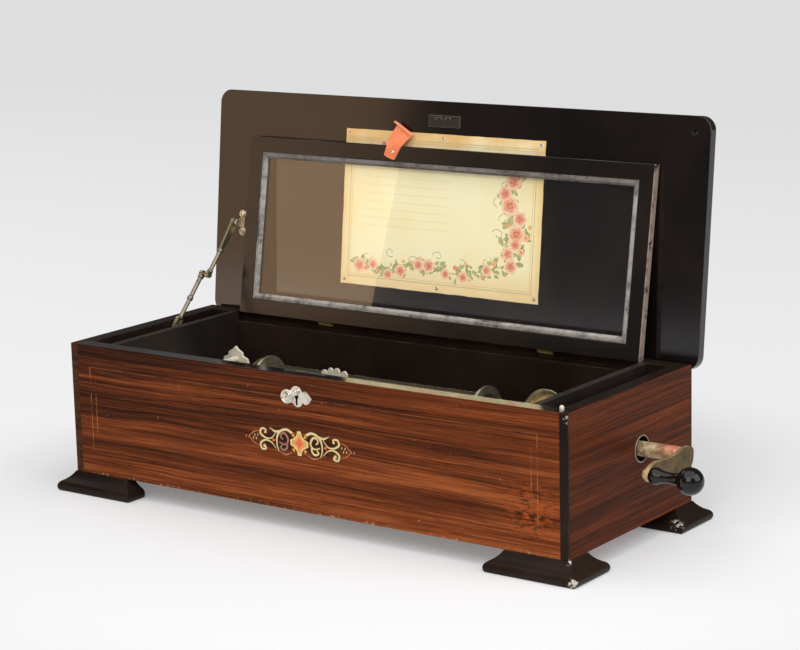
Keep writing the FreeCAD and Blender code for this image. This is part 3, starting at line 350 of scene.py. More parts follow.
def frontRosewood(place):
    look = rosewood(place, rosewoodLook["frontTone"], rosewoodLook["lower"])
    across = place.axis("X")
    up = place.axis("Z")
    left, right, top, bottom = metres(stringing[key] for key in ("left", "right", "top", "bottom"))
    inset, width = metres(stringing[key] for key in ("inset", "width"))
    spot, reach = stringing["sore"]
    sore = place.away(spot).fade(reach, reach * 0.2)
    blotch = place.stretch(130, 130, 380).noise(1, 4, 0.75)
    colour = (sore * blotch.fade(0.51, 0.6)).between(look["Base Color"], stringing["soreColour"])
    colour = (sore * blotch.fade(0.48, 0.38) * 0.8).between(colour, rosewoodLook["pore"])
    for spot, reach in stringing["mastic"]:
        ground = place.away(spot).fade(reach, reach * 0.7) * 0.7
        colour = ground.between(colour, stringing["masticColour"])
    tall = up.within(bottom, top, mm)
    uprights = across.line(left, width).most(across.line(right, width)) * tall
    shorter = up.within(bottom + 3.5 * inset, top - 2 * inset, mm)
    inner = across.line(left + inset, width).most(across.line(right - inset, width)) * shorter
    rails = up.line(top, width) * across.within(left, right, mm) * 0.45
    worn = place.stretch(30, 30, 60).noise(1, 4, 0.65).fade(0.36, 0.58)
    colour = (uprights.most(inner).most(rails) * worn * 0.7).between(colour, stringing["colour"])
    high, low = metres(stringing["chafed"])
    nicks = up.fade(high, low) * place.noise(210, 4, 0.7).fade(0.56, 0.66)
    scratch = place.stretch(26, 26, 1500).noise(1, 2).fade(0.68, 0.72)
    scratch = scratch * place.noise(12).fade(0.52, 0.66)
    dents = place.noise(170, 3, 0.5).fade(0.735, 0.76)
    colour = nicks.most(scratch * 0.5).most(dents * 0.7).between(colour, stringing["scuff"])
    look["Base Color"] = colour
    return look


def endRosewood(place):
    return rosewood(place, rosewoodLook["endTone"], figure=rosewoodLook["endFigure"])


# The closed lid's outside: a rosewood panel inside a pale line and a black border.
lidLook = {
    "side": 283.0,
    "low": 170.0,
    "high": 372.0,
    "line": 1.3,
    "colour": tint(190, 142, 88),
    "skin": (12.2, 12.4),  # out from the hinge line, through the lid's thickness
}


def lidWood(place):
    ebony = ebonise(0.07, 0.5)(place)
    wood = rosewood(place, rosewoodLook["lidTone"])
    outward = openPlace("lid_hinge").to_3x3() @ Vector((0, 0, 1))
    hinge = Vector(joints["lid_hinge"]["pos_m"])
    inner, outer = metres(lidLook["skin"])
    outside = (place.along(tuple(outward)) - outward.dot(hinge)).fade(inner, outer)
    side, low, high, line = metres(lidLook[key] for key in ("side", "low", "high", "line"))
    up = place.axis("Z")
    across = abs(place.axis("X"))
    crisp = 0.01 * mm
    panel = across.within(0, side, crisp) * up.within(low, high, crisp)
    edged = across.within(0, side + line, crisp) * up.within(low - line, high + line, crisp)
    border = edged - panel
    colour = (outside * panel).between(ebony["Base Color"], wood["Base Color"])
    colour = (outside * border).between(colour, lidLook["colour"])
    rough = ebony["Roughness"] + outside * panel * 0.18
    return {"Base Color": colour, "Roughness": rough, "Normal": ebony["Normal"]}


# Thin dark stain over plain timber, seen inside the case.
stainLook = {"dark": tint(17, 13, 11), "light": tint(44, 34, 28)}


def stainedWood(place):
    grain = place.stretch(12, 12, 260).noise(1, 4, 0.6)
    cloud = place.noise(14, 3)
    mottle = grain * 0.7 + cloud * 0.4
    colour = mottle.ramp((0.35, stainLook["dark"]), (0.75, stainLook["light"]))
    return {
        "Base Color": colour,
        "Roughness": 0.32 + cloud * 0.25,
        "Normal": grain.bump(0.15, 0.0004),
    }


pineLook = {"grain": (tint(96, 66, 40), tint(150, 110, 70), tint(176, 136, 92))}


def plainPine(place):
    grain = place.stretch(9, 150, 150).noise(1, 4, 0.6, 0.3)
    return {
        "Base Color": grain.ramp(*zip((0.3, 0.55, 0.75), pineLook["grain"])),
        "Roughness": 0.6 + grain * 0.25,
        "Normal": grain.bump(0.2, 0.0005),
    }


# Any metal: a clean and a tarnished colour, mottled, with fine turning marks and pale edges, partly rubbed wear
# and partly painted highlight.
def metal(clean, dull, gloss, spots, edges=None):
    def build(place):
        cloud = place.noise(85, 5, 0.65)
        speck = place.noise(420, 3, 0.6)
        marks = place.stretch(1500, 320, 320).noise(1, 2)
        tarnish = (cloud * 0.75 + speck * 0.35).fade(0.75 - 0.4 * spots, 0.95 - 0.3 * spots)
        colour = tarnish.between(clean, dull)
        # Pale edges: partly rubbed wear, partly painted highlight.
        if edges:
            colour = (place.attribute("edge") * 0.8).between(colour, edges)
        return {
            "Base Color": colour,
            "Roughness": gloss + tarnish * 0.28 + marks * 0.08,
            "Normal": (marks * 0.4 + speck * 0.6).bump(0.08, 0.0002),
        }

    return build


# Music cylinder: its drum dark between the pins, its end discs painted pale as painted light.
drumLook = {
    "drum": (tint(112, 104, 80), tint(66, 60, 44)),
    "disc": (tint(150, 142, 116), tint(206, 198, 172)),
    "rubbed": (20.6, 21.2),  # radii between which the drum turns to the pale discs of painted light
}


def drumMetal(place):
    look = metal(*drumLook["drum"], 0.32, 0.4)(place)
    # Painted light: the end discs are painted pale.
    disc = place.fromAxis("cylinder_turn").fade(*metres(drumLook["rubbed"]))
    pale = place.noise(60, 4).ramp(*zip((0.35, 0.65), drumLook["disc"]))
    look["Base Color"] = disc.between(look["Base Color"], pale)
    return look


# Glass lid hinges: knuckles rubbed bright, leaves painted nearly black as painted shade.
hingeLook = {
    # leaves: painted shade, nearly black
    "leaf": (tint(58, 47, 32), tint(36, 29, 21)),
    "bright": tint(214, 192, 124),
    "knuckle": (4.4, 3.6),  # radii between which leaf turns to knuckle
}


def hingeBrass(place):
    look = metal(*hingeLook["leaf"], 0.4, 0.6)(place)
    knuckle = place.fromAxis("glass_lid_hinge").fade(*metres(hingeLook["knuckle"]))
    look["Base Color"] = knuckle.between(look["Base Color"], hingeLook["bright"])
    return look


# Crank shaft: plating worn through to pink copper and grey, most of all on top near the arm.
shaftLook = {
    "plating": (tint(158, 130, 98), tint(222, 194, 158), tint(240, 226, 200)),
    "copper": tint(226, 128, 92),
    "speck": tint(84, 70, 54),
    "top": (96, 100.5),
    "nearArm": (316, 338),
}


def wornPlate(place):
    cloud = place.noise(70, 5, 0.7)
    speck = place.noise(330, 4, 0.65)
    top = place.axis("Z").fade(*metres(shaftLook["top"]))
    near = place.axis("X").fade(*metres(shaftLook["nearArm"]))
    worn = near * place.noise(46, 3).fade(0.3, 0.55) * (0.25 + top * 0.75)
    colour = cloud.ramp(*zip((0.38, 0.5, 0.66), shaftLook["plating"]))
    colour = worn.between(colour, shaftLook["copper"])
    colour = speck.fade(0.6, 0.7).between(colour, shaftLook["speck"])
    return {
        "Base Color": colour,
        "Roughness": 0.36 + cloud * 0.2 + speck * 0.1,
        "Normal": (speck + cloud).bump(0.15, 0.0003),
    }


# Crank arm: dark olive on its flats, its rim painted pale as a painted highlight.
armToneAndHighlight = {
    "flat": (tint(66, 52, 26), tint(112, 90, 48)),
    "rim": (tint(168, 138, 96), tint(216, 188, 144)),
}


def armBrass(place):
    cloud = place.noise(60, 5, 0.65)
    # Painted highlight: every face that does not face the side is painted pale.
    flat = place.facing("X").fade(0.6, 0.95)
    dark = cloud.ramp(*zip((0.35, 0.65), armToneAndHighlight["flat"]))
    bright = cloud.ramp(*zip((0.35, 0.65), armToneAndHighlight["rim"]))
    return {
        "Base Color": flat.between(bright, dark),
        "Roughness": 0.32 + cloud * 0.25,
        "Normal": place.noise(400, 3).bump(0.1, 0.0002),
    }


# Bush round the shaft: black, its outer rim painted pale as a painted highlight.
bushLook = {"darkRing": tint(40, 33, 28), "rubbed": tint(198, 184, 160), "rim": (12.2, 12.8)}


def bushMetal(place):
    cloud = place.noise(120, 4, 0.6)
    rim = place.fromAxis("crank_turn").fade(*metres(bushLook["rim"]))
    return {
        # Painted highlight: the outer rim is painted pale.
        "Base Color": (rim * (0.55 + cloud * 0.6)).between(bushLook["darkRing"], bushLook["rubbed"]),
        "Roughness": 0.34 + cloud * 0.2,
        "Normal": cloud.bump(0.1, 0.0002),
    }


ironLook = {"dark": tint(74, 68, 58), "light": tint(150, 142, 124)}


def castIron(place):
    sand = place.noise(600, 4, 0.7)
    cloud = place.noise(30, 3)
    mottle = sand * 0.4 + cloud * 0.6
    return {
        "Base Color": mottle.ramp((0.35, ironLook["dark"]), (0.7, ironLook["light"])),
        "Roughness": 0.42 + sand * 0.25,
        "Normal": sand.bump(0.3, 0.0004),
    }


# Glazing strip: paint worn to bare grey wood, palest along its edge and darker at the top.
stripLook = {"paint": tint(70, 62, 56), "bare": tint(170, 164, 158), "top": (310, 325)}


def wornStrip(place):
    grain = place.noise(30, 4, 0.7)
    fleck = place.noise(170, 4, 0.7)
    worn = (grain * 0.6 + fleck * 0.5).fade(0.4, 0.62).most(place.attribute("edge") * 0.8)
    worn = worn * (1 - place.axis("Z").fade(*metres(stripLook["top"])) * 0.6)
    return {
        "Base Color": worn.between(stripLook["paint"], stripLook["bare"]),
        "Roughness": 0.42 + worn * 0.3,
        "Normal": (fleck + worn).bump(0.3, 0.0004),
    }


# Aged paper: browner toward its margins, most of all along the top that shows over the frame.
paperLook = {
    "clean": (tint(255, 247, 206), tint(254, 238, 186)),
    "margin": tint(252, 226, 160),
    "head": tint(232, 184, 114),
    "rim": tint(248, 200, 130),
    "fibre": tint(240, 220, 166),
}


def agedPaper(place):
    fibre = place.noise(900, 3, 0.6)
    stain = place.noise(16, 4, 0.55)
    sheet = place.make("ShaderNodeTexCoord", output="UV")
    up = sheet.axis("Y")
    aside = abs(sheet.axis("X") - 0.5)
    margin = aside.fade(0.42, 0.47).most(up.fade(0.9, 1.0))
    rim = aside.fade(0.46, 0.5).most(up.fade(0.22, 0.02))
    head = up.fade(0.87, 0.95) * stain.fade(0.2, 0.6)
    colour = stain.fade(0.35, 0.75).between(*paperLook["clean"])
    colour = (margin * 0.45).between(colour, paperLook["margin"])
    colour = (head * 0.95).between(colour, paperLook["head"])
    colour = (rim * (0.25 + stain * 0.5)).between(colour, paperLook["rim"])
    colour = (fibre.fade(0.55, 0.8) * 0.4).between(colour, paperLook["fibre"])
    return {
        "Base Color": colour,
        "Roughness": 0.62 + fibre * 0.2,
        "Normal": fibre.bump(0.1, 0.0002),
    }


# Printing inks lie in the mesh's own colours, a little uneven on the paper.
inkLook = {"thin": tint(252, 234, 186)}


def printedInk(place):
    ink = place.attribute("ink", "Color")
    thin = place.noise(500, 3, 0.6).fade(0.3, 0.75) * 0.45
    return {"Base Color": thin.between(ink, inkLook["thin"]), "Roughness": 0.6 + thin * 0.3}


leatherLook = {
    "skin": (tint(236, 110, 64), tint(250, 142, 92), tint(254, 172, 126)),
    "edge": tint(252, 184, 146),
}


def redLeather(place):
    grain = place.cells(650)
    cloud = place.noise(60, 4)
    colour = cloud.ramp(*zip((0.3, 0.55, 0.75), leatherLook["skin"]))
    colour = (place.attribute("edge") * 0.6).between(colour, leatherLook["edge"])
    return {
        "Base Color": colour,
        "Roughness": 0.45 + grain * 0.3,
        "Normal": (grain * -0.6 + cloud).bump(0.25, 0.0004),
    }


rollLook = {"dark": tint(168, 156, 128), "light": tint(214, 204, 176)}


def rolledPaper(place):
    wind = place.stretch(300, 40, 40).noise(1, 3)
    return {
        "Base Color": wind.ramp((0.35, rollLook["dark"]), (0.7, rollLook["light"])),
        "Roughness": 0.7 + wind * 0.15,
        "Normal": wind.bump(0.2, 0.0003),
    }


# Place of an open lid about its hinge: local X along the hinge, -Y toward the free edge.
def openPlace(joint):
    turn = math.radians(-joints[joint]["range_deg"][1])
    return Matrix.Translation(Vector(joints[joint]["pos_m"])) @ Matrix.Rotation(turn, 4, "X")


lidPlace = openPlace("lid_hinge")
glassPlace = openPlace("glass_lid_hinge")

black = finish("ebony", ebonise(0.3, 0.4, wornTones), Specular_IOR_Level=0.12)
rimBlack = finish("ebony_front", rimWood, Specular_IOR_Level=1.0, Coat_Roughness=0.14, Coat_IOR=2.0)
softBlack = finish("ebony_rubbed", ebonise(0.24, 0.8, wornTones), Specular_IOR_Level=0.1)
cornerBlack = finish("ebony_corners", cornerWood, Specular_IOR_Level=0.06)
frameBlack = finish("ebony_frame", frameWood)
lidBlack = finish("ebony_lid", lidWood)
handleBlack = finish("ebony_handle", ebonise(0.09, 0.6), Specular_IOR_Level=0.36)
frontVeneer = finish("rosewood_front", frontRosewood, Specular_IOR_Level=0.04)
endVeneer = finish("rosewood_end", endRosewood, Specular_IOR_Level=0.03)
stained = finish("stained_wood", stainedWood)
pine = finish("plain_pine", plainPine)
greyBrass = finish("grey_brass", drumMetal, Metallic=0.8)
darkHinge = finish("hinge_brass", hingeBrass, Metallic=0.7)
shaftPlate = finish("worn_plating", wornPlate, Metallic=0.5)
oliveBrass = finish("olive_brass", armBrass, Metallic=0.75)
bush = finish("bush_metal", bushMetal, Metallic=0.8)
iron = finish("cast_bed", castIron, Metallic=0.5)
strip = finish("worn_strip", wornStrip)
paper = finish("aged_paper", agedPaper)
ink = finish("printing_ink", printedInk)
leather = finish("red_leather", redLeather, Sheen_Weight=0.2)
roll = finish("rolled_paper", rolledPaper)

# Metals and inlays: clean and dull colour, gloss, spots, how metallic, and pale edges if any, partly rubbed wear
# and partly painted highlight.
metals = {
    "aged_brass": ((206, 172, 104), (112, 90, 52), 0.3, 0.5, 1.0),
    "antique_brass": ((178, 166, 132), (88, 80, 58), 0.3, 0.55, 0.9, (224, 212, 178)),
    "tarnished_brass": ((140, 128, 112), (84, 74, 62), 0.34, 0.5, 0.85, (190, 182, 164)),
    "pale_brass": ((222, 206, 178), (124, 110, 88), 0.32, 0.4, 0.8, (236, 224, 202)),
    "copper_brass": ((214, 180, 128), (150, 116, 76), 0.3, 0.4, 0.9),
    "cream_metal": ((232, 222, 200), (186, 172, 144), 0.4, 0.3, 0.3, (246, 240, 226)),
    # The dark bronze plate's pale edges are painted highlights.
    "dark_bronze": ((40, 33, 28), (26, 20, 17), 0.34, 0.4, 0.2, (150, 142, 130)),
    "worn_nickel": ((222, 216, 202), (150, 140, 120), 0.2, 0.5, 1.0, (248, 242, 230)),
    "bright_steel": ((198, 198, 198), (110, 106, 102), 0.25, 0.3, 1.0),
    "gold_inlay": ((232, 208, 144), (176, 146, 88), 0.34, 0.4, 0.4),
    "copper_inlay": ((196, 116, 84), (134, 72, 50), 0.36, 0.5, 0.4),
    "dull_inlay": ((164, 118, 104), (112, 74, 62), 0.4, 0.5, 0.3),
    "ground_inlay": ((58, 32, 18), (44, 26, 14), 0.45, 0.4, 0.0),
    "red_inlay": ((226, 100, 54), (170, 66, 38), 0.4, 0.4, 0.0),
    "orange_inlay": ((226, 156, 70), (180, 112, 48), 0.38, 0.4, 0.0),
}
metalFinish = {}
for name, (clean, dull, gloss, spots, share, *edges) in metals.items():
    rubbed = tint(*edges[0]) if edges else None
    build = metal(tint(*clean), tint(*dull), gloss, spots, rubbed)
    metalFinish[name] = finish(name, build, Metallic=share)
brass, nickel, steel = [metalFinish[name] for name in ("aged_brass", "worn_nickel", "bright_steel")]
antiqueBrass, rodBrass = metalFinish["antique_brass"], metalFinish["tarnished_brass"]
bracketBrass, drumBrass = metalFinish["pale_brass"], metalFinish["copper_brass"]
paleMetal, bronze = metalFinish["cream_metal"], metalFinish["dark_bronze"]


# Sheet glass: clear to shadows, faintly green, with dust that dulls it in places.
glassLook = {
    "clean": (0.99, 0.995, 0.992, 1.0),
    "dusty": (0.965, 0.97, 0.962, 1.0),
    "shadow": (0.97, 0.98, 0.975, 1.0),
}


def sheetGlass():
    def build(place):
        dust = place.noise(24, 4, 0.6).fade(0.5, 0.9)
        tone = dust.between(glassLook["clean"], glassLook["dusty"])
        return {"Base Color": tone, "Roughness": dust * 0.04}

    material = finish("sheet_glass", build, Transmission_Weight=1.0, IOR=1.5)
    tree = material.node_tree
    shader = tree.nodes["Principled BSDF"]
    field = Field(tree)
    shadow = field.make("ShaderNodeLightPath", output="Is Shadow Ray")
    clear = field.make("ShaderNodeBsdfTransparent", {"Color": glassLook["shadow"]})
    pane = Field(tree, shader.outputs[0])
    mixed = field.make("ShaderNodeMixShader", {0: shadow, 1: pane, 2: clear})
    tree.links.new(mixed.socket, tree.nodes["Material Output"].inputs[0])
    return material


glass = sheetGlass()
slotFinish = {
    "black_wood": black,
    "veneer": endVeneer,
    "inner_wood": stained,
    "raw_wood": pine,
    "brass": brass,
    "nickel": nickel,
    "steel": steel,
    "iron": iron,
    "glass": glass,
    "putty": strip,
    "paper": paper,
    "leather": leather,
}
print("finishes:", len(bpy.data.materials))


# Whether two faces shade as one: a wide flat never bends into the round beside it.
def rolls(edge, limit):
    small, large = sorted(face.calc_area() for face in edge.link_faces)
    angle = edge.calc_face_angle(0)
    return angle < 0.01 or (angle < limit and large < small * 12)


# Puts a made mesh on a body, with its finish.
def piece(name, shape, body, material, smooth=35, stands=()):
    for face in shape.faces:
        face.smooth = True
    for edge in shape.edges:
        edge.smooth = len(edge.link_faces) == 2 and rolls(edge, math.radians(smooth))
    mesh = bpy.data.meshes.new(name)
    shape.to_mesh(mesh)
    shape.free()
    mesh.materials.append(material)
    thing = bpy.data.objects.new(name, mesh)
    bpy.context.scene.collection.objects.link(thing)
    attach(thing, body)
    if stands:
        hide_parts(*stands)
    return thing


# A node's solid with its edges rounded over; the rounds are marked for wear and, on metals, for painted
# highlights. Angles in degrees.
easing = {"flat": 0.5, "corner": 32, "smooth": 40, "steps": 2}


def eased(name, width, material):
    shape = bmesh.new()
    shape.from_mesh(nodes[name].data)
    bmesh.ops.remove_doubles(shape, verts=shape.verts, dist=1e-6)
    flat, corner = math.radians(easing["flat"]), math.radians(easing["corner"])
    bmesh.ops.dissolve_limit(shape, angle_limit=flat, verts=shape.verts, edges=shape.edges)
    mark = shape.faces.layers.float.new("edge")
    edges = [e for e in shape.edges if len(e.link_faces) == 2 and e.calc_face_angle(0) > corner]
    made = bmesh.ops.bevel(
        shape,
        geom=edges,
        offset=width * mm,
        segments=easing["steps"],
        profile=0.5,
        affect="EDGES",
        clamp_overlap=True,
    )
    for face in made["faces"]:
        face[mark] = 1.0
    piece(f"{name}_eased", shape, bodyOf[name], material, easing["smooth"], [name])


# A node whose own edges stay sharp.
def bare(name, material):
    nodes[name].data.materials.clear()
    nodes[name].data.materials.append(material)


# Faces round a row of rings; a ring of one point closes to a tip.
def skinned(shape, rings, sides):
    faces = []
    for low, high in zip(rings, rings[1:]):
        for step in range(sides):
            after = (step + 1) % sides
            corners = [low[step % len(low)], low[after % len(low)]]
            corners += [high[after % len(high)], high[step % len(high)]]
            ordered = list(dict.fromkeys(corners))
            if len(ordered) > 2:
                faces.append(shape.faces.new(ordered))
    return faces


# Turned work: a profile of (along, radius) about the local Z axis, set in place by a matrix.
def turned(profile, place, sides):
    shape = bmesh.new()
    rings = []
    for along, radius in profile:
        ring = []
        for step in range(sides if radius > 0 else 1):
            angle = 2 * math.pi * step / sides
            spot = Vector((radius * math.cos(angle), radius * math.sin(angle), along)) * mm
            ring.append(shape.verts.new(place @ spot))
        rings.append(ring)
    skinned(shape, rings, sides)
    bmesh.ops.recalc_face_normals(shape, faces=shape.faces)
    return shape


def joined(shapes):
    whole = bmesh.new()
    for shape in shapes:
        mesh = bpy.data.meshes.new("joining")
        shape.to_mesh(mesh)
        shape.free()
        whole.from_mesh(mesh)
        bpy.data.meshes.remove(mesh)
    return whole


# Gives a flat mesh a thickness, its back pushed in by a vector.
def thickened(shape, inward):
    made = bmesh.ops.extrude_face_region(shape, geom=shape.faces[:])
    moved = [v for v in made["geom"] if isinstance(v, bmesh.types.BMVert)]
    bmesh.ops.translate(shape, verts=moved, vec=inward)
    bmesh.ops.recalc_face_normals(shape, faces=shape.faces)


def span(spots):
    return [Vector([pick(spot[i] for spot in spots) for i in range(3)]) for pick in (min, max)]


# Boxes round the separate solids of one node.
def solidBoxes(name):
    shape = bmesh.new()
    shape.from_mesh(nodes[name].data)
    bmesh.ops.remove_doubles(shape, verts=shape.verts, dist=1e-6)
    left = set(shape.verts)
    boxes = []
    while left:
        found = {left.pop()}
        edge = set(found)
        while edge:
            near = {e.other_vert(v) for v in edge for e in v.link_edges}
            edge = near & left
            left -= edge
            found |= edge
        boxes.append(span([v.co for v in found]))
    shape.free()
    return sorted(boxes, key=lambda box: tuple(box[0]))


# A node's box in a lid's own axes, in millimetres.
def localBox(name, place):
    back = place.inverted()
    low, high = span([back @ v.co for v in nodes[name].data.vertices])
    return low / mm, high / mm


# Smooth line through a few points.
def flowing(points, steps=9):
    spots = [Vector(point) for point in points]
    spots = [2 * spots[0] - spots[1]] + spots + [2 * spots[-1] - spots[-2]]
    line = []
    for a, b, c, d in zip(spots, spots[1:], spots[2:], spots[3:]):
        for step in range(steps):
            t = step / steps
            bend = (2 * a - 5 * b + 4 * c - d) * t**2
            twist = (3 * b - a - 3 * c + d) * t**3
            line.append(b + 0.5 * ((c - a) * t + bend + twist))
    line.append(spots[-2])
    return line


# The two sides of a flat strip along a line, its width going from start to middle to end.
def strapOutline(line, start, middle, end):
    count = len(line) - 1
    sides = ([], [])
    for index, spot in enumerate(line):
        share = 2 * index / count
        if share < 1:
            width = start + (middle - start) * share
        else:
            width = middle + (end - middle) * (share - 1)
        ahead = line[min(index + 1, count)] - line[max(index - 1, 0)]
        across = Vector((-ahead.y, ahead.x)).normalized() * width / 2
        sides[0].append(spot + across)
        sides[1].append(spot - across)
    return sides


# Scroll inlay of the front, drawn for its right half about the middle star, in millimetres.
inlay = {
    "centre": (-3.7, 88.2),
    "proud": 0.05,  # one level above the veneer
    "thick": 0.12,
    "stout": 1.15,  # all scrolls' widths are times this
    "scrolls": [
        (
            [(8.2, 9.2), (15.6, 12), (23.4, 9.2), (27.2, 3.3), (27.6, -4.3), (25.4, -11)],
            (2.2, 1.9, 0.7),
            "gold",
        ),
        ([(23.5, 9.6), (29.5, 8.4), (36.5, 11.6)], (1.6, 2.0, 0.3), "gold"),
        (
            [
                (20, 1.6), (22.8, 4), (21, 7.6), (16.8, 7.4),
                (13.8, 2.4), (15.4, -2), (20, -3.2), (25, -1.4),
            ],
            (1.1, 1.9, 0.9),
            "ring",
        ),
        (
            [(15, -2.4), (15.6, -6.6), (19.4, -9), (23.2, -6.8), (21.2, -4.2)],
            (1.7, 1.8, 1.1),
            "ring",
        ),
        ([(9.6, -10.6), (17, -13), (25.8, -10.8)], (0.6, 1.3, 0.4), "copper"),
        (
            [(28.4, 7.8), (34.4, 1.2), (41.6, 0.6), (48, 4.4), (46.4, 9.2), (41.6, 9), (41.2, 5.6)],
            (0.5, 1.9, 1.3),
            "gold",
        ),
        (
            [
                (28.8, -8.4), (34.4, -3.2), (41.6, -1.6), (48, -5.6),
                (46.2, -11), (41.4, -10), (43.4, -7),
            ],
            (0.5, 1.9, 1.6),
            "gold",
        ),
        ([(48.8, 6.8), (56, 5), (62.4, -0.4)], (0.4, 0.9, 0.7), "copper"),
        ([(50.2, -8.4), (57, -5.4), (62.4, -0.4)], (0.4, 0.9, 0.7), "copper"),
        ([(61.6, 1.2), (63.4, -2)], (0.6, 0.6, 0.6), "copper"),
    ],
    "bars": [(51, 2.2), (53, -1.4), (54.8, 2), (56.6, -1.2)],
    "bar": {"rise": 1.1, "lean": 0.7, "widths": (0.7, 0.8, 0.7)},
    "dots": [(66, -0.5, 1.0, "copper"), (43.2, -7.6, 1.7, "gold"), (41.8, 6.2, 1.3, "gold")],
    "wedge": [(29, -0.4), (33, 1.6), (33, -2.4)],
    "lobe": [(5.2, 5.4), (9.4, 6.4), (6.4, 9.6)],
    "star": [(1.0, "gold"), (0.78, "orange"), (0.42, "red")],
    "starQuarter": [(2.2, 12.2), (3.0, 8.2), (4.8, 5.8), (7.6, 4.0), (11.0, 2.6)],
    "ground": 1.5,  # how much wider the dark ground is than the gold on it
}
inlayColours = ("gold", "copper", "orange", "red", "dull", "ground")


def buildInlay():
    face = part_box("front_veneer")[0].y
    centre = Vector(inlay["centre"])
    shapes = {colour: bmesh.new() for colour in inlayColours}

    def spot(colour, point, level):
        at = centre + Vector(point)
        return shapes[colour].verts.new((at.x * mm, face - inlay["proud"] * level * mm, at.y * mm))

    def patch(colour, outline, level):
        shapes[colour].faces.new([spot(colour, point, level) for point in outline])

    def strap(colour, line, widths, level, spare=0.0):
        sides = strapOutline(line, *[width * inlay["stout"] + spare for width in widths])
        near, far = [[spot(colour, point, level) for point in side] for side in sides]
        for index in range(len(line) - 1):
            shapes[colour].faces.new([near[index], near[index + 1], far[index + 1], far[index]])

    for mirror in (1, -1):
        for layer, (points, widths, colour) in enumerate(inlay["scrolls"]):
            if colour == "ring":
                colour = "gold" if mirror > 0 else "dull"
            line = flowing([(x * mirror, z) for x, z in points])
            strap(colour, line, widths, 1.2 + layer * 0.08)
            if colour == "gold":
                strap("ground", line, widths, 0.4 + layer * 0.06, inlay["ground"])
        rise, lean = inlay["bar"]["rise"], inlay["bar"]["lean"]
        for x, z in inlay["bars"]:
            stroke = flowing([(x * mirror, z - rise), ((x + lean) * mirror, z + rise)], 2)
            strap("gold", stroke, inlay["bar"]["widths"], 1.0)
        for x, z, radius, colour in inlay["dots"]:
            ring = [i * math.pi / 8 for i in range(16)]
            dot = [(x * mirror + radius * math.cos(a), z + radius * math.sin(a)) for a in ring]
            patch(colour, dot, 1.9)
        patch("red", [(x * mirror, z) for x, z in inlay["wedge"]], 1.2)
        for flip in (1, -1):
            patch("orange", [(x * mirror, z * flip) for x, z in inlay["lobe"]], 1.2)
    quarter = inlay["starQuarter"]
    half = quarter + [(x, -z) for x, z in reversed(quarter)]
    star = half + [(-x, -z) for x, z in half]
    for level, (scale, colour) in enumerate(inlay["star"]):
        patch(colour, [(x * scale, z * scale) for x, z in star], 2.1 + level * 0.5)
    for colour, shape in shapes.items():
        thickened(shape, (0, inlay["thick"] * mm, 0))
        piece(f"inlay_{colour}", shape, "case", metalFinish[f"{colour}_inlay"])


buildInlay()
print("inlay done")


# Printed sheet under the lid: aged paper, a little wavy, with a rose garland of its own design.
tuneSheet = {
    "columns": 62,
    "rows": 42,
    "wave": 0.1,
    "deckle": 0.9,
    "depth": 0.34,  # below the lid's face
    "thick": 0.2,
    "print": 0.012,  # how far the ink stands off the paper
    "seed": 11,
    "rose": [tint(250, 206, 178), tint(240, 150, 122), tint(216, 92, 72)],
    "leaf": [tint(158, 166, 100), tint(126, 138, 76), tint(182, 182, 118)],
    "blossom": [tint(248, 186, 122), tint(240, 150, 98), tint(250, 222, 160)],
    "heart": tint(190, 96, 60),
    "rule": tint(190, 168, 112),
    "line": tint(222, 200, 150),
    "stem": tint(140, 130, 78),
    "border": ((9, 0.7), (11.5, 0.35)),  # inset and width of its two rules
    "margin": 22,  # from the right and the foot to the garlands
    "lines": {"count": 8, "first": 40, "pitch": 8.5, "across": (26, 80, 134)},
    "tack": [(-0.15, 2), (0.05, 2), (0.25, 1.6), (0.36, 0.9), (0.4, 0)],
    "tackSeat": 0.4,
}


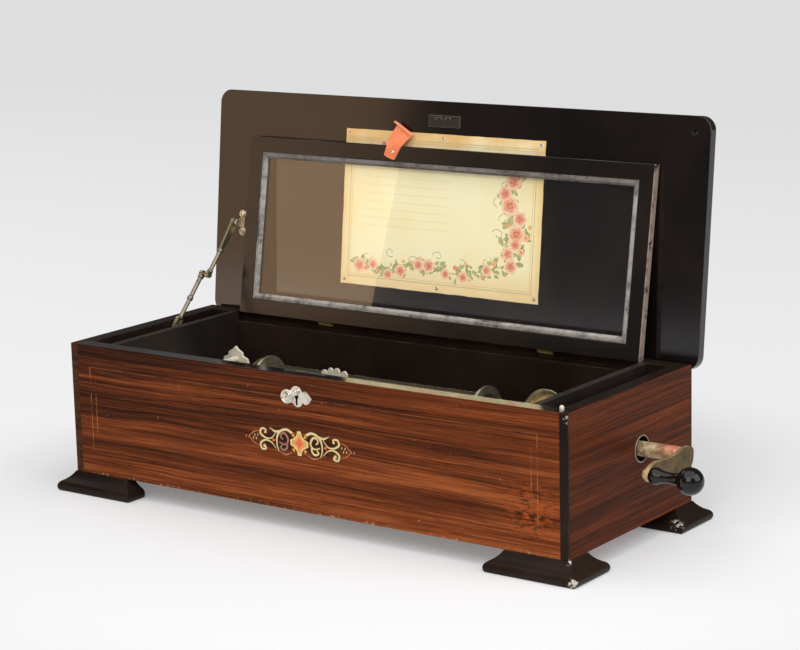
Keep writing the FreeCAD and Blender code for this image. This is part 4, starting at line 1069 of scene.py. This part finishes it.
def buildTuneSheet():
    low, high = localBox("tune_sheet", lidPlace)
    width, tall = high.x - low.x, high.y - low.y
    chance = random.Random(tuneSheet["seed"])

    def surface(u, v, lift=0.0):
        x = low.x + u * width
        y = high.y - v * tall
        wave = (noise.noise(Vector((u * 5, v * 4, 2))) - 0.4) * tuneSheet["wave"]
        return lidPlace @ (Vector((x, y, -tuneSheet["depth"] - wave * (1 - v) - lift)) * mm)

    shape = bmesh.new()
    mapping = shape.loops.layers.uv.new("sheet")
    columns, rows = tuneSheet["columns"], tuneSheet["rows"]
    grid = []
    for row in range(rows + 1):
        line = []
        for column in range(columns + 1):
            u, v = column / columns, row / rows
            ragged = tuneSheet["deckle"] * abs(noise.noise(Vector((u * 9, v * 9, 5))))
            spotU = min(max(u, ragged / width), 1 - ragged / width)
            spotV = min(max(v, ragged / tall), 1 - ragged / tall)
            line.append((shape.verts.new(surface(spotU, spotV)), spotU, spotV))
        grid.append(line)
    for row in range(rows):
        for column in range(columns):
            corners = [grid[row][column], grid[row + 1][column]]
            corners += [grid[row + 1][column + 1], grid[row][column + 1]]
            face = shape.faces.new([corner[0] for corner in corners])
            for loop, corner in zip(face.loops, corners):
                loop[mapping].uv = corner[1:]
    thickened(shape, lidPlace.to_3x3() @ Vector((0, 0, tuneSheet["thick"] * mm)))
    piece("tune_sheet_paper", shape, "lid", paper, 60, ["tune_sheet"])

    art = bmesh.new()
    colours = art.verts.layers.float_color.new("ink")

    def patch(points, colour, layer):
        corners = []
        for x, y in points:
            vert = art.verts.new(surface(x / width, 1 - y / tall, tuneSheet["print"] * layer))
            vert[colours] = colour
            corners.append(vert)
        art.faces.new(corners)

    def petals(x, y, radius, count, turn, colour, layer):
        ring = [i * math.pi / 5 for i in range(10)]
        for step in range(count):
            angle = turn + 2 * math.pi * step / count
            middle = Vector((x, y)) + Vector((math.cos(angle), math.sin(angle))) * radius * 0.55
            wide, deep = radius * 0.52, radius * 0.46
            outline = [(middle.x + wide * math.cos(a), middle.y + deep * math.sin(a)) for a in ring]
            patch(outline, colour, layer)

    def rose(x, y, radius):
        turn = chance.uniform(0, 6)
        for layer, colour in enumerate(tuneSheet["rose"]):
            size = radius * (1 - layer * 0.3)
            petals(x, y, size, 6 - layer, turn + layer * 0.5, colour, 4 + layer)

    def blossom(x, y, radius):
        petals(x, y, radius, 5, chance.uniform(0, 6), chance.choice(tuneSheet["blossom"]), 3.4)
        petals(x, y, radius * 0.3, 4, 0, tuneSheet["heart"], 3.8)

    def leaf(x, y, length, angle):
        root = Vector((x, y))
        along = Vector((math.cos(angle), math.sin(angle))) * length
        across = Vector((-along.y, along.x)) * 0.26
        steps = (0, 0.2, 0.45, 0.7, 1)
        for side, colour in ((1, tuneSheet["leaf"][0]), (-1, chance.choice(tuneSheet["leaf"]))):
            arc = [root + along * t + across * side * math.sin(math.pi * t) for t in steps]
            patch(arc, colour, 2)

    def stroke(points, thick, colour, layer=1):
        near, far = strapOutline(flowing(points, 8), thick, thick, thick)
        for index in range(len(near) - 1):
            patch([near[index], near[index + 1], far[index + 1], far[index]], colour, layer)

    def garland(points, lush):
        stroke(points, 0.9, tuneSheet["stem"])
        path = flowing(points, 14)
        for index, spot in enumerate(path):
            swell = (0.5 + index / len(path)) * lush
            for _ in range(3):
                reach = Vector((chance.uniform(-12, 12), chance.uniform(-9, 9))) * swell * 0.5
                length = chance.uniform(4, 9) * lush
                leaf(spot.x + reach.x, spot.y + reach.y, length, chance.uniform(0, 6.28))
            if index % 3 == 0:
                reach = Vector((chance.uniform(-9, 9), chance.uniform(-8, 8))) * swell
                blossom(spot.x + reach.x, spot.y + reach.y, chance.uniform(1.8, 3.4) * lush)
            if index % 6 == 2:
                size = chance.uniform(5, 8.5) * lush
                rose(spot.x + chance.uniform(-5, 5), spot.y + chance.uniform(-4, 4), size)

    def tendril(x, y, size, turn):
        curl = []
        for step in range(9):
            angle = turn + step * 0.72
            reach = size * (1 - step / 10)
            curl.append((x + reach * math.cos(angle), y + reach * math.sin(angle) * 0.8))
        stroke(curl, 0.6, tuneSheet["leaf"][1], 1.5)

    for inset, thick in tuneSheet["border"]:
        right, foot = width - inset, tall - inset
        corners = [(inset, inset), (right, inset), (right, foot), (inset, foot)]
        for a, b in zip(corners, corners[1:] + corners[:1]):
            middle = ((a[0] + b[0]) / 2, (a[1] + b[1]) / 2)
            stroke([a, middle, b], thick, tuneSheet["rule"])
    lines = tuneSheet["lines"]
    for line in range(lines["count"]):
        y = lines["first"] + line * lines["pitch"]
        stroke([(x, y) for x in lines["across"]], 0.3, tuneSheet["line"])

    right, foot = width - tuneSheet["margin"], tall - tuneSheet["margin"]
    along = [(20, foot - 4), (58, foot + 4), (104, foot - 6), (150, foot), (right - 16, foot - 14)]
    garland(along, 1.0)
    climb = [(right - 40, 24), (right - 8, 34), (right - 22, 62), (right - 4, 92)]
    garland(climb + [(right - 16, foot - 22)], 1.25)
    garland([(22, 22), (52, 17), (84, 20)], 0.6)
    for step in range(6):
        tendril(34 + step * 30, foot - 10 - 6 * (step % 2), 7, step * 1.1)
        tendril(right - 30 + 8 * (step % 2), 30 + step * 17, 8, step * 0.9)
    bmesh.ops.recalc_face_normals(art, faces=art.faces)
    piece("tune_sheet_print", art, "lid", ink)

    heads = []
    for first, last in solidBoxes("tune_sheet_tacks"):
        middle = lidPlace.inverted() @ ((first + last) / 2)
        top = Vector((middle.x, middle.y, -tuneSheet["tackSeat"] * mm))
        place = lidPlace @ Matrix.Translation(top) @ Matrix.Rotation(math.pi, 4, "X")
        heads.append(turned(tuneSheet["tack"], place, 18))
    piece("tune_sheet_tack_heads", joined(heads), "lid", nickel, 50, ["tune_sheet_tacks"])


buildTuneSheet()
print("tune sheet done")


# Leather pull tab, pinned under the front rail: it widens over the rail's edge and curls back.
# Places are (across, up) from the pin; half is half its width and lean its turn, pin to curl.
pullTab = {
    "middle": [
        (-3.6, -6.2), (-1.6, 0), (1.6, 8.5), (5.4, 16),
        (9.4, 22.6), (10.8, 25.2), (10.2, 25.0),
    ],
    "depth": [0, 0, 0.4, 2.6, 5.2, 4.4, 1.4],
    "half": [7.2, 7.6, 8.6, 9.8, 11.0, 13.2, 13.6],
    "lean": [18, 18, 20, 23, 27, 29, 30],
    "thick": 1.4,
    "round": 1.2,  # of the corners at the pin
    "cup": 0.8,  # across the curl
    "stud": [(-0.2, 1.2), (0, 2), (0.35, 1.8), (0.65, 1.1), (0.78, 0)],
}


def buildPullTab():
    pinLow, pinHigh = localBox("pull_tab_pin", glassPlace)
    pin = (pinLow + pinHigh) / 2
    thick = pullTab["thick"]
    seat = pinHigh.z + thick / 2
    path = flowing([(x, y, depth) for (x, y), depth in zip(pullTab["middle"], pullTab["depth"])], 6)
    shares = flowing(list(zip(pullTab["half"], pullTab["lean"])), 6)
    shape = bmesh.new()
    mark = shape.faces.layers.float.new("edge")
    reaches = (-1, -0.7, -0.35, 0, 0.35, 0.7, 1)
    ring = [(1, reach) for reach in reaches] + [(-1, reach) for reach in reversed(reaches)]
    rows = []
    for index, (spot, (half, lean)) in enumerate(zip(path, shares)):
        ahead = path[min(index + 1, len(path) - 1)] - path[max(index - 1, 0)]
        turn = math.radians(lean)
        across = Vector((math.cos(turn), -math.sin(turn), 0))
        normal = across.cross(ahead).normalized() * thick / 2
        share = index / (len(path) - 1)
        row = []
        for side, reach in ring:
            rounded = pullTab["round"] * reach**6 * max(0.0, 1 - share * 7)
            cup = pullTab["cup"] * share * share * reach * reach
            at = spot + across * reach * half + normal * side + Vector((0, rounded, -cup))
            local = Vector((pin.x + at.x, pin.y - at.y, seat + at.z))
            row.append(shape.verts.new(glassPlace @ (local * mm)))
        rows.append(row)
    count = len(ring)
    for index, face in enumerate(skinned(shape, rows, count)):
        face[mark] = 1.0 if index % count in (len(reaches) - 1, count - 1) else 0.0
    shape.faces.new(rows[0])
    shape.faces.new(rows[-1])[mark] = 1.0
    bmesh.ops.recalc_face_normals(shape, faces=shape.faces)
    tab = piece("pull_tab_leather", shape, "glass_lid", leather, 50, ["pull_tab"])
    anchor = glassPlace @ (pin * mm)
    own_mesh(tab)
    top = Matrix.Translation(Vector((pin.x, pin.y, pinHigh.z)) * mm)
    place = glassPlace @ top @ Matrix.Rotation(math.pi, 4, "X")
    stud = turned(pullTab["stud"], place, 20)
    piece("pull_tab_stud", stud, "glass_lid", nickel, 50, ["pull_tab_pin"])


buildPullTab()
print("pull tab done")


# Slotted screw head about local Z: a turned crown parted by its slot, over a plain skirt.
# Profiles are (height, radius), each as a share of the head's own.
screwHead = {
    "skirt": [(0, 0), (0, 1), (0.45, 1), (0.45, 0)],
    "crown": [(0.4, 0), (0.4, 1), (0.7, 0.97), (1, 0.72), (1, 0)],
    "slot": 0.22,
}


def slottedHead(radius, height, place, turn):
    def turnedShare(profile):
        sized = [(height * rise, radius * share) for rise, share in profile]
        return turned(sized, Matrix.Identity(4), 24)

    halves = []
    for side in (1, -1):
        half = turnedShare(screwHead["crown"])
        plane = Vector((0, side * screwHead["slot"] * radius * mm, 0))
        parts = half.verts[:] + half.edges[:] + half.faces[:]
        cut = bmesh.ops.bisect_plane(
            half,
            geom=parts,
            plane_co=plane,
            plane_no=(0, side, 0),
            clear_inner=True,
        )
        rim = [e for e in cut["geom_cut"] if isinstance(e, bmesh.types.BMEdge)]
        bmesh.ops.edgeloop_fill(half, edges=rim)
        halves.append(half)
    whole = joined([turnedShare(screwHead["skirt"])] + halves)
    bmesh.ops.transform(whole, matrix=place @ Matrix.Rotation(turn, 4, "Z"), verts=whole.verts)
    bmesh.ops.recalc_face_normals(whole, faces=whole.faces)
    return whole


# Folding stay: a bone-shaped bracket under the lid, and fuller turned rods on both links.
# Rod profiles are (along, radius) from the near pivot, the knop or the far pivot.
stay = {
    "bracket": {
        "across": -264.8,
        "along": 92.0,
        "ears": 9.3,  # from the middle to each
        "ear": 4.6,  # radius
        "neck": 55.0,  # degrees that each runs on into the waist
        "thick": 2.5,
        "screw": (3.6, 2.6),  # head radius and height
    },
    "post": {"span": (-268.4, -266.0), "wide": 4.6, "drop": 8.0, "round": 4.0},
    "pivot": {"radius": 2.5, "span": (-274.0, -268.2)},
    "elbow": {"radius": 2.1, "sunk": 1, "spare": 0.1},
    "lower": [(11, 0), (11, 2.45)],
    "knop": [(-3.0, 2.3), (-2.2, 3.0), (-0.8, 3.35), (0.8, 3.35), (2.2, 3.0), (3.0, 2.4)],
    "lowerEnd": [(-6.2, 2.4), (-5.2, 3.3), (-3, 3.3), (-2.6, 2.7), (-2.6, 0)],
    "upper": [(2.6, 0), (2.6, 2.7), (3, 3.3), (5.2, 3.3), (6.2, 2.4)],
    "upperEnd": [(-3, 2.2), (-2.2, 3.0), (0, 3.3), (1.6, 2.9), (2.2, 2.2), (2.2, 0)],
    "knopAt": 0.54,
    "bladeAt": 0.46,
}


def buildStay():
    look, post, pivot = stay["bracket"], stay["post"], stay["pivot"]
    plate = bmesh.new()
    outline = []
    for end in (0, math.pi):
        sweep = math.pi + 2 * math.radians(look["neck"])
        for step in range(17):
            angle = end - math.radians(look["neck"]) + sweep * step / 16
            x = look["across"] + look["ear"] * math.cos(angle)
            y = look["ears"] * math.cos(end) + look["ear"] * math.sin(angle) - look["along"]
            outline.append(lidPlace @ (Vector((x, y, -look["thick"])) * mm))
    plate.faces.new([plate.verts.new(spot) for spot in outline])
    thickened(plate, lidPlace.to_3x3() @ Vector((0, 0, look["thick"] * mm)))
    upright = bmesh.new()
    sides = [(-post["wide"], 0.0)]
    for step in range(13):
        angle = math.pi * (1 + step / 12)
        y, z = post["round"] * math.cos(angle), post["round"] * math.sin(angle)
        sides.append((y, z - post["drop"]))
    sides.append((post["wide"], 0.0))
    near, far = post["span"]
    spots = [lidPlace @ (Vector((near, y - look["along"], z)) * mm) for y, z in sides]
    upright.faces.new([upright.verts.new(spot) for spot in spots])
    thickened(upright, ((far - near) * mm, 0, 0))
    near, far = pivot["span"]
    aim = Matrix.Rotation(math.pi / 2, 4, "Y")
    seat = Matrix.Translation(Vector((near, -look["along"], -post["drop"])) * mm)
    bar = [(0, 0), (0, pivot["radius"]), (far - near, pivot["radius"]), (far - near, 0)]
    bracket = joined([plate, upright, turned(bar, lidPlace @ seat @ aim, 24)])
    piece("stay_bracket_bone", bracket, "lid", bracketBrass, 40, ["stay_bracket"])

    low, high = [Vector(joints[f"stay_{end}_pivot"]["pos_m"]) for end in ("lower", "upper")]
    low.x, high.x = [sum(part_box(f"stay_{end}_link"), Vector()).x / 2 for end in ("lower", "upper")]
    slope = Vector((0, high.y - low.y, high.z - low.z))
    length = slope.length / 2 / mm
    turn = slope.to_track_quat("Z", "X").to_matrix().to_4x4()
    joint = low + slope / 2
    knop = stay["knopAt"] * length
    profile = stay["lower"] + [(knop + along, radius) for along, radius in stay["knop"]]
    profile += [(length + along, radius) for along, radius in stay["lowerEnd"]]
    rod = turned(profile, Matrix.Translation(low) @ turn, 20)
    gap = [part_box("stay_lower_link")[1].x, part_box("stay_upper_link")[0].x]
    across = (gap[1] - gap[0]) / mm - stay["elbow"]["spare"]
    seat = Matrix.Translation((gap[0], joint.y, joint.z)) @ aim
    size, sunk = stay["elbow"]["radius"], stay["elbow"]["sunk"]
    pin = turned([(-sunk, 0), (-sunk, size), (across, size), (across, 0)], seat, 20)
    piece("stay_lower_rod", joined([rod, pin]), "stay_lower", rodBrass, 40)
    flat = stay["bladeAt"] * length
    profile = stay["upper"] + [(flat + along, radius) for along, radius in stay["upperEnd"]]
    foot = Matrix.Translation((high.x, joint.y, joint.z))
    piece("stay_upper_rod", turned(profile, foot @ turn, 20), "stay_upper", rodBrass, 40)


buildStay()
print("stay done")

# Screws besides the comb's own: head radius and height in millimetres, and where they stand.
screws = {
    "bed": (4.2, 2.4),
    "bedSpots": [(-226, -22), (-226, 82), (150, -22), (150, 82)],
    "bearing": (2.3, 1.4),
    "bearingInset": 4.0,
}


def buildScrews():
    heads = []
    for index, (low, high) in enumerate(solidBoxes("comb_screws")):
        foot = Matrix.Translation(((low.x + high.x) / 2, (low.y + high.y) / 2, low.z))
        radius, height = (high.x - low.x) / 2 / mm, (high.z - low.z) / mm
        heads.append(slottedHead(radius, height, foot, index * 0.9))
    piece("comb_screw_heads", joined(heads), "case", steel, 40, ["comb_screws"])

    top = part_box("bedplate")[1].z
    heads = []
    for index, (x, y) in enumerate(screws["bedSpots"]):
        foot = Matrix.Translation((x * mm, y * mm, top))
        heads.append(slottedHead(*screws["bed"], foot, index * 1.3))
    inset = screws["bearingInset"] * mm
    for index, (low, high) in enumerate(solidBoxes("cylinder_bearings")):
        for y in (low.y + inset, high.y - inset):
            foot = Matrix.Translation(((low.x + high.x) / 2, y, high.z))
            heads.append(slottedHead(*screws["bearing"], foot, index + y * 40))
    piece("bed_screw_heads", joined(heads), "case", steel, 40)

    look = stay["bracket"]
    heads = []
    for index, ear in enumerate((-look["ears"], look["ears"])):
        seat = Vector((look["across"], -look["along"] - ear, -look["thick"])) * mm
        foot = lidPlace @ Matrix.Translation(seat) @ Matrix.Rotation(math.pi, 4, "X")
        heads.append(slottedHead(*look["screw"], foot, 0.4 + index))
    piece("bracket_screw_heads", joined(heads), "lid", bracketBrass, 40)


buildScrews()
print("screws done")


# Cylinder pins: one short row of steel pins for each comb tooth, at seeded places.
pins = {
    "seed": 5,
    "perTooth": 22,
    "pitch": 4.0,  # of the comb
    "stray": 0.9,
    "radius": 0.36,
    "height": 0.42,
    "sunk": 0.1,
    "taper": 0.7,
    "drum": 20.0,  # radius they stand on
}


def buildPins():
    combLow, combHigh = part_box("comb")
    axis = Vector(joints["cylinder_turn"]["pos_m"])
    pitch = pins["pitch"] * mm
    chance = random.Random(pins["seed"])
    shape = bmesh.new()
    teeth = int(round((combHigh.x - combLow.x) / pitch))
    for tooth in range(teeth):
        for _ in range(pins["perTooth"]):
            stray = chance.uniform(-pins["stray"], pins["stray"]) * mm
            x = combLow.x + pitch * (tooth + 0.5) + stray
            angle = chance.uniform(0, 2 * math.pi)
            out = Vector((0, math.cos(angle), math.sin(angle)))
            side = Vector((0, -math.sin(angle), math.cos(angle))) * pins["radius"] * mm
            along = Vector((pins["radius"] * mm, 0, 0))
            foot = Vector((x, axis.y, axis.z)) + out * (pins["drum"] - pins["sunk"]) * mm
            tip = foot + out * (pins["height"] + pins["sunk"]) * mm
            corners = (side, along, -side, -along)
            base = [shape.verts.new(foot + corner) for corner in corners]
            top = [shape.verts.new(tip + corner * pins["taper"]) for corner in corners]
            skinned(shape, [base, top], 4)
            shape.faces.new(top)
    bmesh.ops.recalc_face_normals(shape, faces=shape.faces)
    piece("cylinder_pins", shape, "cylinder", nickel, 20)


buildPins()
print("cylinder pins done")


# Worm thread on the fly's arbor, left-handed so that it drives its wheel the right way.
worm = {"lead": 2.513, "root": 1.7, "crest": 3.4, "length": 16.0, "width": 1.1}


def buildWorm():
    axis = Vector(joints["fly_turn"]["pos_m"])
    middle = joints["governor_turn"]["pos_m"][2]
    turns = worm["length"] / worm["lead"]
    steps = int(turns * 20)
    root, crest = worm["root"], worm["crest"]
    thread = [(root, -0.5), (crest, -0.22), (crest, 0.22), (root, 0.5)]
    shape = bmesh.new()
    rows = []
    for step in range(steps + 1):
        turn = (step / steps - 0.5) * turns
        angle = math.pi / 2 - 2 * math.pi * turn
        height = (turn + 0.5) * worm["lead"] * mm + middle
        out = Vector((math.cos(angle), math.sin(angle), 0))
        row = []
        for radius, rise in thread:
            core = Vector((axis.x, axis.y, height + rise * worm["width"] * mm))
            row.append(shape.verts.new(core + out * radius * mm))
        rows.append(row)
    skinned(shape, rows, len(thread))
    shape.faces.new(rows[0])
    shape.faces.new(rows[-1])
    bmesh.ops.recalc_face_normals(shape, faces=shape.faces)
    piece("worm_thread", shape, "governor_fly", steel, 30)


buildWorm()
print("worm done")

# Rounded edges, in millimetres, for each slot; toothed, wound and glass nodes keep their own.
edgeWidths = {
    "black_wood": 0.7,
    "veneer": 0.2,
    "inner_wood": 0.6,
    "raw_wood": 0.6,
    "brass": 0.25,
    "nickel": 0.3,
    "steel": 0.25,
    "iron": 0.8,
    "putty": 0.4,
}
sharpNodes = {
    "cylinder_wheel",
    "great_wheel",
    "governor_arbor",
    "governor_fly",
    "cylinder_arbor",
    "ratchet_wheel",
    "comb",
    "mainspring",
    "glass_pane",
    "zither_roll",
}
special = {
    "front_veneer": frontVeneer,
    "feet": softBlack,
    "corner_strips": cornerBlack,
    "glass_lid_frame": frameBlack,
    "case_front": rimBlack,
    "glass_hinge_case_leaves": darkHinge,
    "glass_hinge_leaves": darkHinge,
    "lid": lidBlack,
    "crank_handle": handleBlack,
    "crank_shaft": shaftPlate,
    "crank_arm": oliveBrass,
    "crank_bush": bush,
    "stay_lower_link": antiqueBrass,
    "stay_upper_link": antiqueBrass,
    "stay_screw": antiqueBrass,
    "lock_link_plate": bronze,
    "zither_lever": paleMetal,
    "governor_cock": paleMetal,
    "lid_stud": paleMetal,
    "cylinder": greyBrass,
    "spring_barrel": drumBrass,
    "barrel_cover": drumBrass,
    "zither_roll": roll,
    "great_wheel": antiqueBrass,
    "cylinder_wheel": antiqueBrass,
}
for name, node in nodes.items():
    if node.hide_render:
        continue
    material = special.get(name, slotFinish[slotOf[name]])
    if name in sharpNodes:
        bare(name, material)
    else:
        eased(name, edgeWidths[slotOf[name]], material)
print("nodes dressed")

# Studio: pale floor, soft lamps, and a warm card at the left that the polished lid mirrors.
studio = {
    "floorNear": tint(247, 247, 248),
    "floorFar": tint(222, 222, 223),
    "floorDepth": (-1.6, 3.4),  # from near to far
    "floorSize": 14,
    "floor": (0.88, 0.88, 0.88, 1.0),
    "shadow": {"about": (0.05, 0, 0), "reach": (0.3, 0.64), "lift": 0.22},
    "ambient": 0.1,
    "white": (1.0, 1.0, 1.0),
    "aim": (0, 0, 0.15),
    "lamps": {
        "top_lamp": {"place": (0.3, -0.8, 2.4), "size": (3.4, 3.2), "power": 55.0},
        "front_lamp": {"place": (0.9, -2.6, 1.5), "size": (1.8, 1.8), "power": 28.0},
        "right_lamp": {"place": (2.4, 0.2, 1.5), "size": (2.2, 2.2), "power": 40.0},
        "left_lamp": {"place": (-2.4, 0.5, 1.6), "size": (2.0, 2.0), "power": 11.0},
        "warm_card": {
            "place": (-2.33, -2.08, 0.5),
            "size": (1.1, 1.05),
            "power": 5.6,
            "colour": (1.0, 0.63, 0.34),
        },
    },
}


def lamp(name, look):
    light = bpy.data.lights.new(name, "AREA")
    light.shape = "RECTANGLE"
    light.size, light.size_y = look["size"]
    light.energy = look["power"]
    light.color = look.get("colour", studio["white"])
    thing = bpy.data.objects.new(name, light)
    thing.location = look["place"]
    aim = Vector(studio["aim"]) - Vector(look["place"])
    thing.rotation_euler = aim.to_track_quat("-Z", "Y").to_euler()
    bpy.context.scene.collection.objects.link(thing)


def buildStudio():
    shape = bmesh.new()
    bmesh.ops.create_grid(shape, x_segments=2, y_segments=2, size=studio["floorSize"])
    mesh = bpy.data.meshes.new("studio_floor")
    shape.to_mesh(mesh)
    shape.free()
    floor = bpy.data.objects.new("studio_floor", mesh)
    bpy.context.scene.collection.objects.link(floor)

    # Near the object the floor takes its shadow, a little lifted; far off it is plain background.
    material = bpy.data.materials.new("studio_floor")
    material.use_nodes = True
    tree = material.node_tree
    shader = tree.nodes["Principled BSDF"]
    shader.inputs["Base Color"].default_value = studio["floor"]
    shader.inputs["Roughness"].default_value = 1.0
    shader.inputs["Specular IOR Level"].default_value = 0.0
    place = Field(tree).make("ShaderNodeTexCoord", output="Object")
    kinds = ("Camera", "Glossy", "Transmission")
    rays = [place.make("ShaderNodeLightPath", output=f"Is {kind} Ray") for kind in kinds]
    seen = rays[0].most(rays[1]).most(rays[2])
    tone = place.axis("Y").fade(*studio["floorDepth"])
    tone = tone.between(studio["floorNear"], studio["floorFar"])
    backdrop = place.make("ShaderNodeEmission", {"Color": tone, "Strength": 1.0})
    shadow = studio["shadow"]
    far = place.stretch(1, 1, 0).away(shadow["about"]).fade(*shadow["reach"])
    plain = far.most(shadow["lift"]) * seen
    ground = Field(tree, shader.outputs[0])
    mixed = place.make("ShaderNodeMixShader", {0: plain, 1: ground, 2: backdrop})
    tree.links.new(mixed.socket, tree.nodes["Material Output"].inputs[0])
    mesh.materials.append(material)

    world = bpy.data.worlds.new("studio")
    bpy.context.scene.world = world
    world.use_nodes = True
    sky = world.node_tree.nodes["Background"]
    sky.inputs["Color"].default_value = studio["white"] + (1.0,)
    sky.inputs["Strength"].default_value = studio["ambient"]
    for name, look in studio["lamps"].items():
        lamp(name, look)


buildStudio()

# Camera of the photograph: place in millimetres, angles in radians, lens in pixels of its frame.
view = {
    "place": (1374.37, -1837.16, 665.51),
    "yaw": -0.6291,
    "pitch": -0.2070,
    "roll": -0.0249,
    "focus": 2363.94,
    "frameWidth": 800,
    "sensor": 36.0,
    "clipEnd": 60.0,
}


def buildCamera():
    yaw, pitch, roll = view["yaw"], view["pitch"], view["roll"]
    flat = math.cos(pitch)
    ahead = Vector((math.sin(yaw) * flat, math.cos(yaw) * flat, math.sin(pitch)))
    level = Vector((math.cos(yaw), -math.sin(yaw), 0))
    above = level.cross(ahead)
    right = math.cos(roll) * level + math.sin(roll) * above
    up = -math.sin(roll) * level + math.cos(roll) * above
    camera = bpy.data.objects.new("photo_camera", bpy.data.cameras.new("photo_camera"))
    camera.data.sensor_width = view["sensor"]
    camera.data.lens = view["sensor"] * view["focus"] / view["frameWidth"]
    camera.data.clip_end = view["clipEnd"]
    turn = Matrix((right, up, -ahead)).transposed()
    camera.matrix_world = Matrix.Translation(Vector(view["place"]) * mm) @ turn.to_4x4()
    bpy.context.scene.collection.objects.link(camera)
    bpy.context.scene.camera = camera


buildCamera()
bpy.context.scene.view_settings.view_transform = "Standard"
print("studio and camera done")
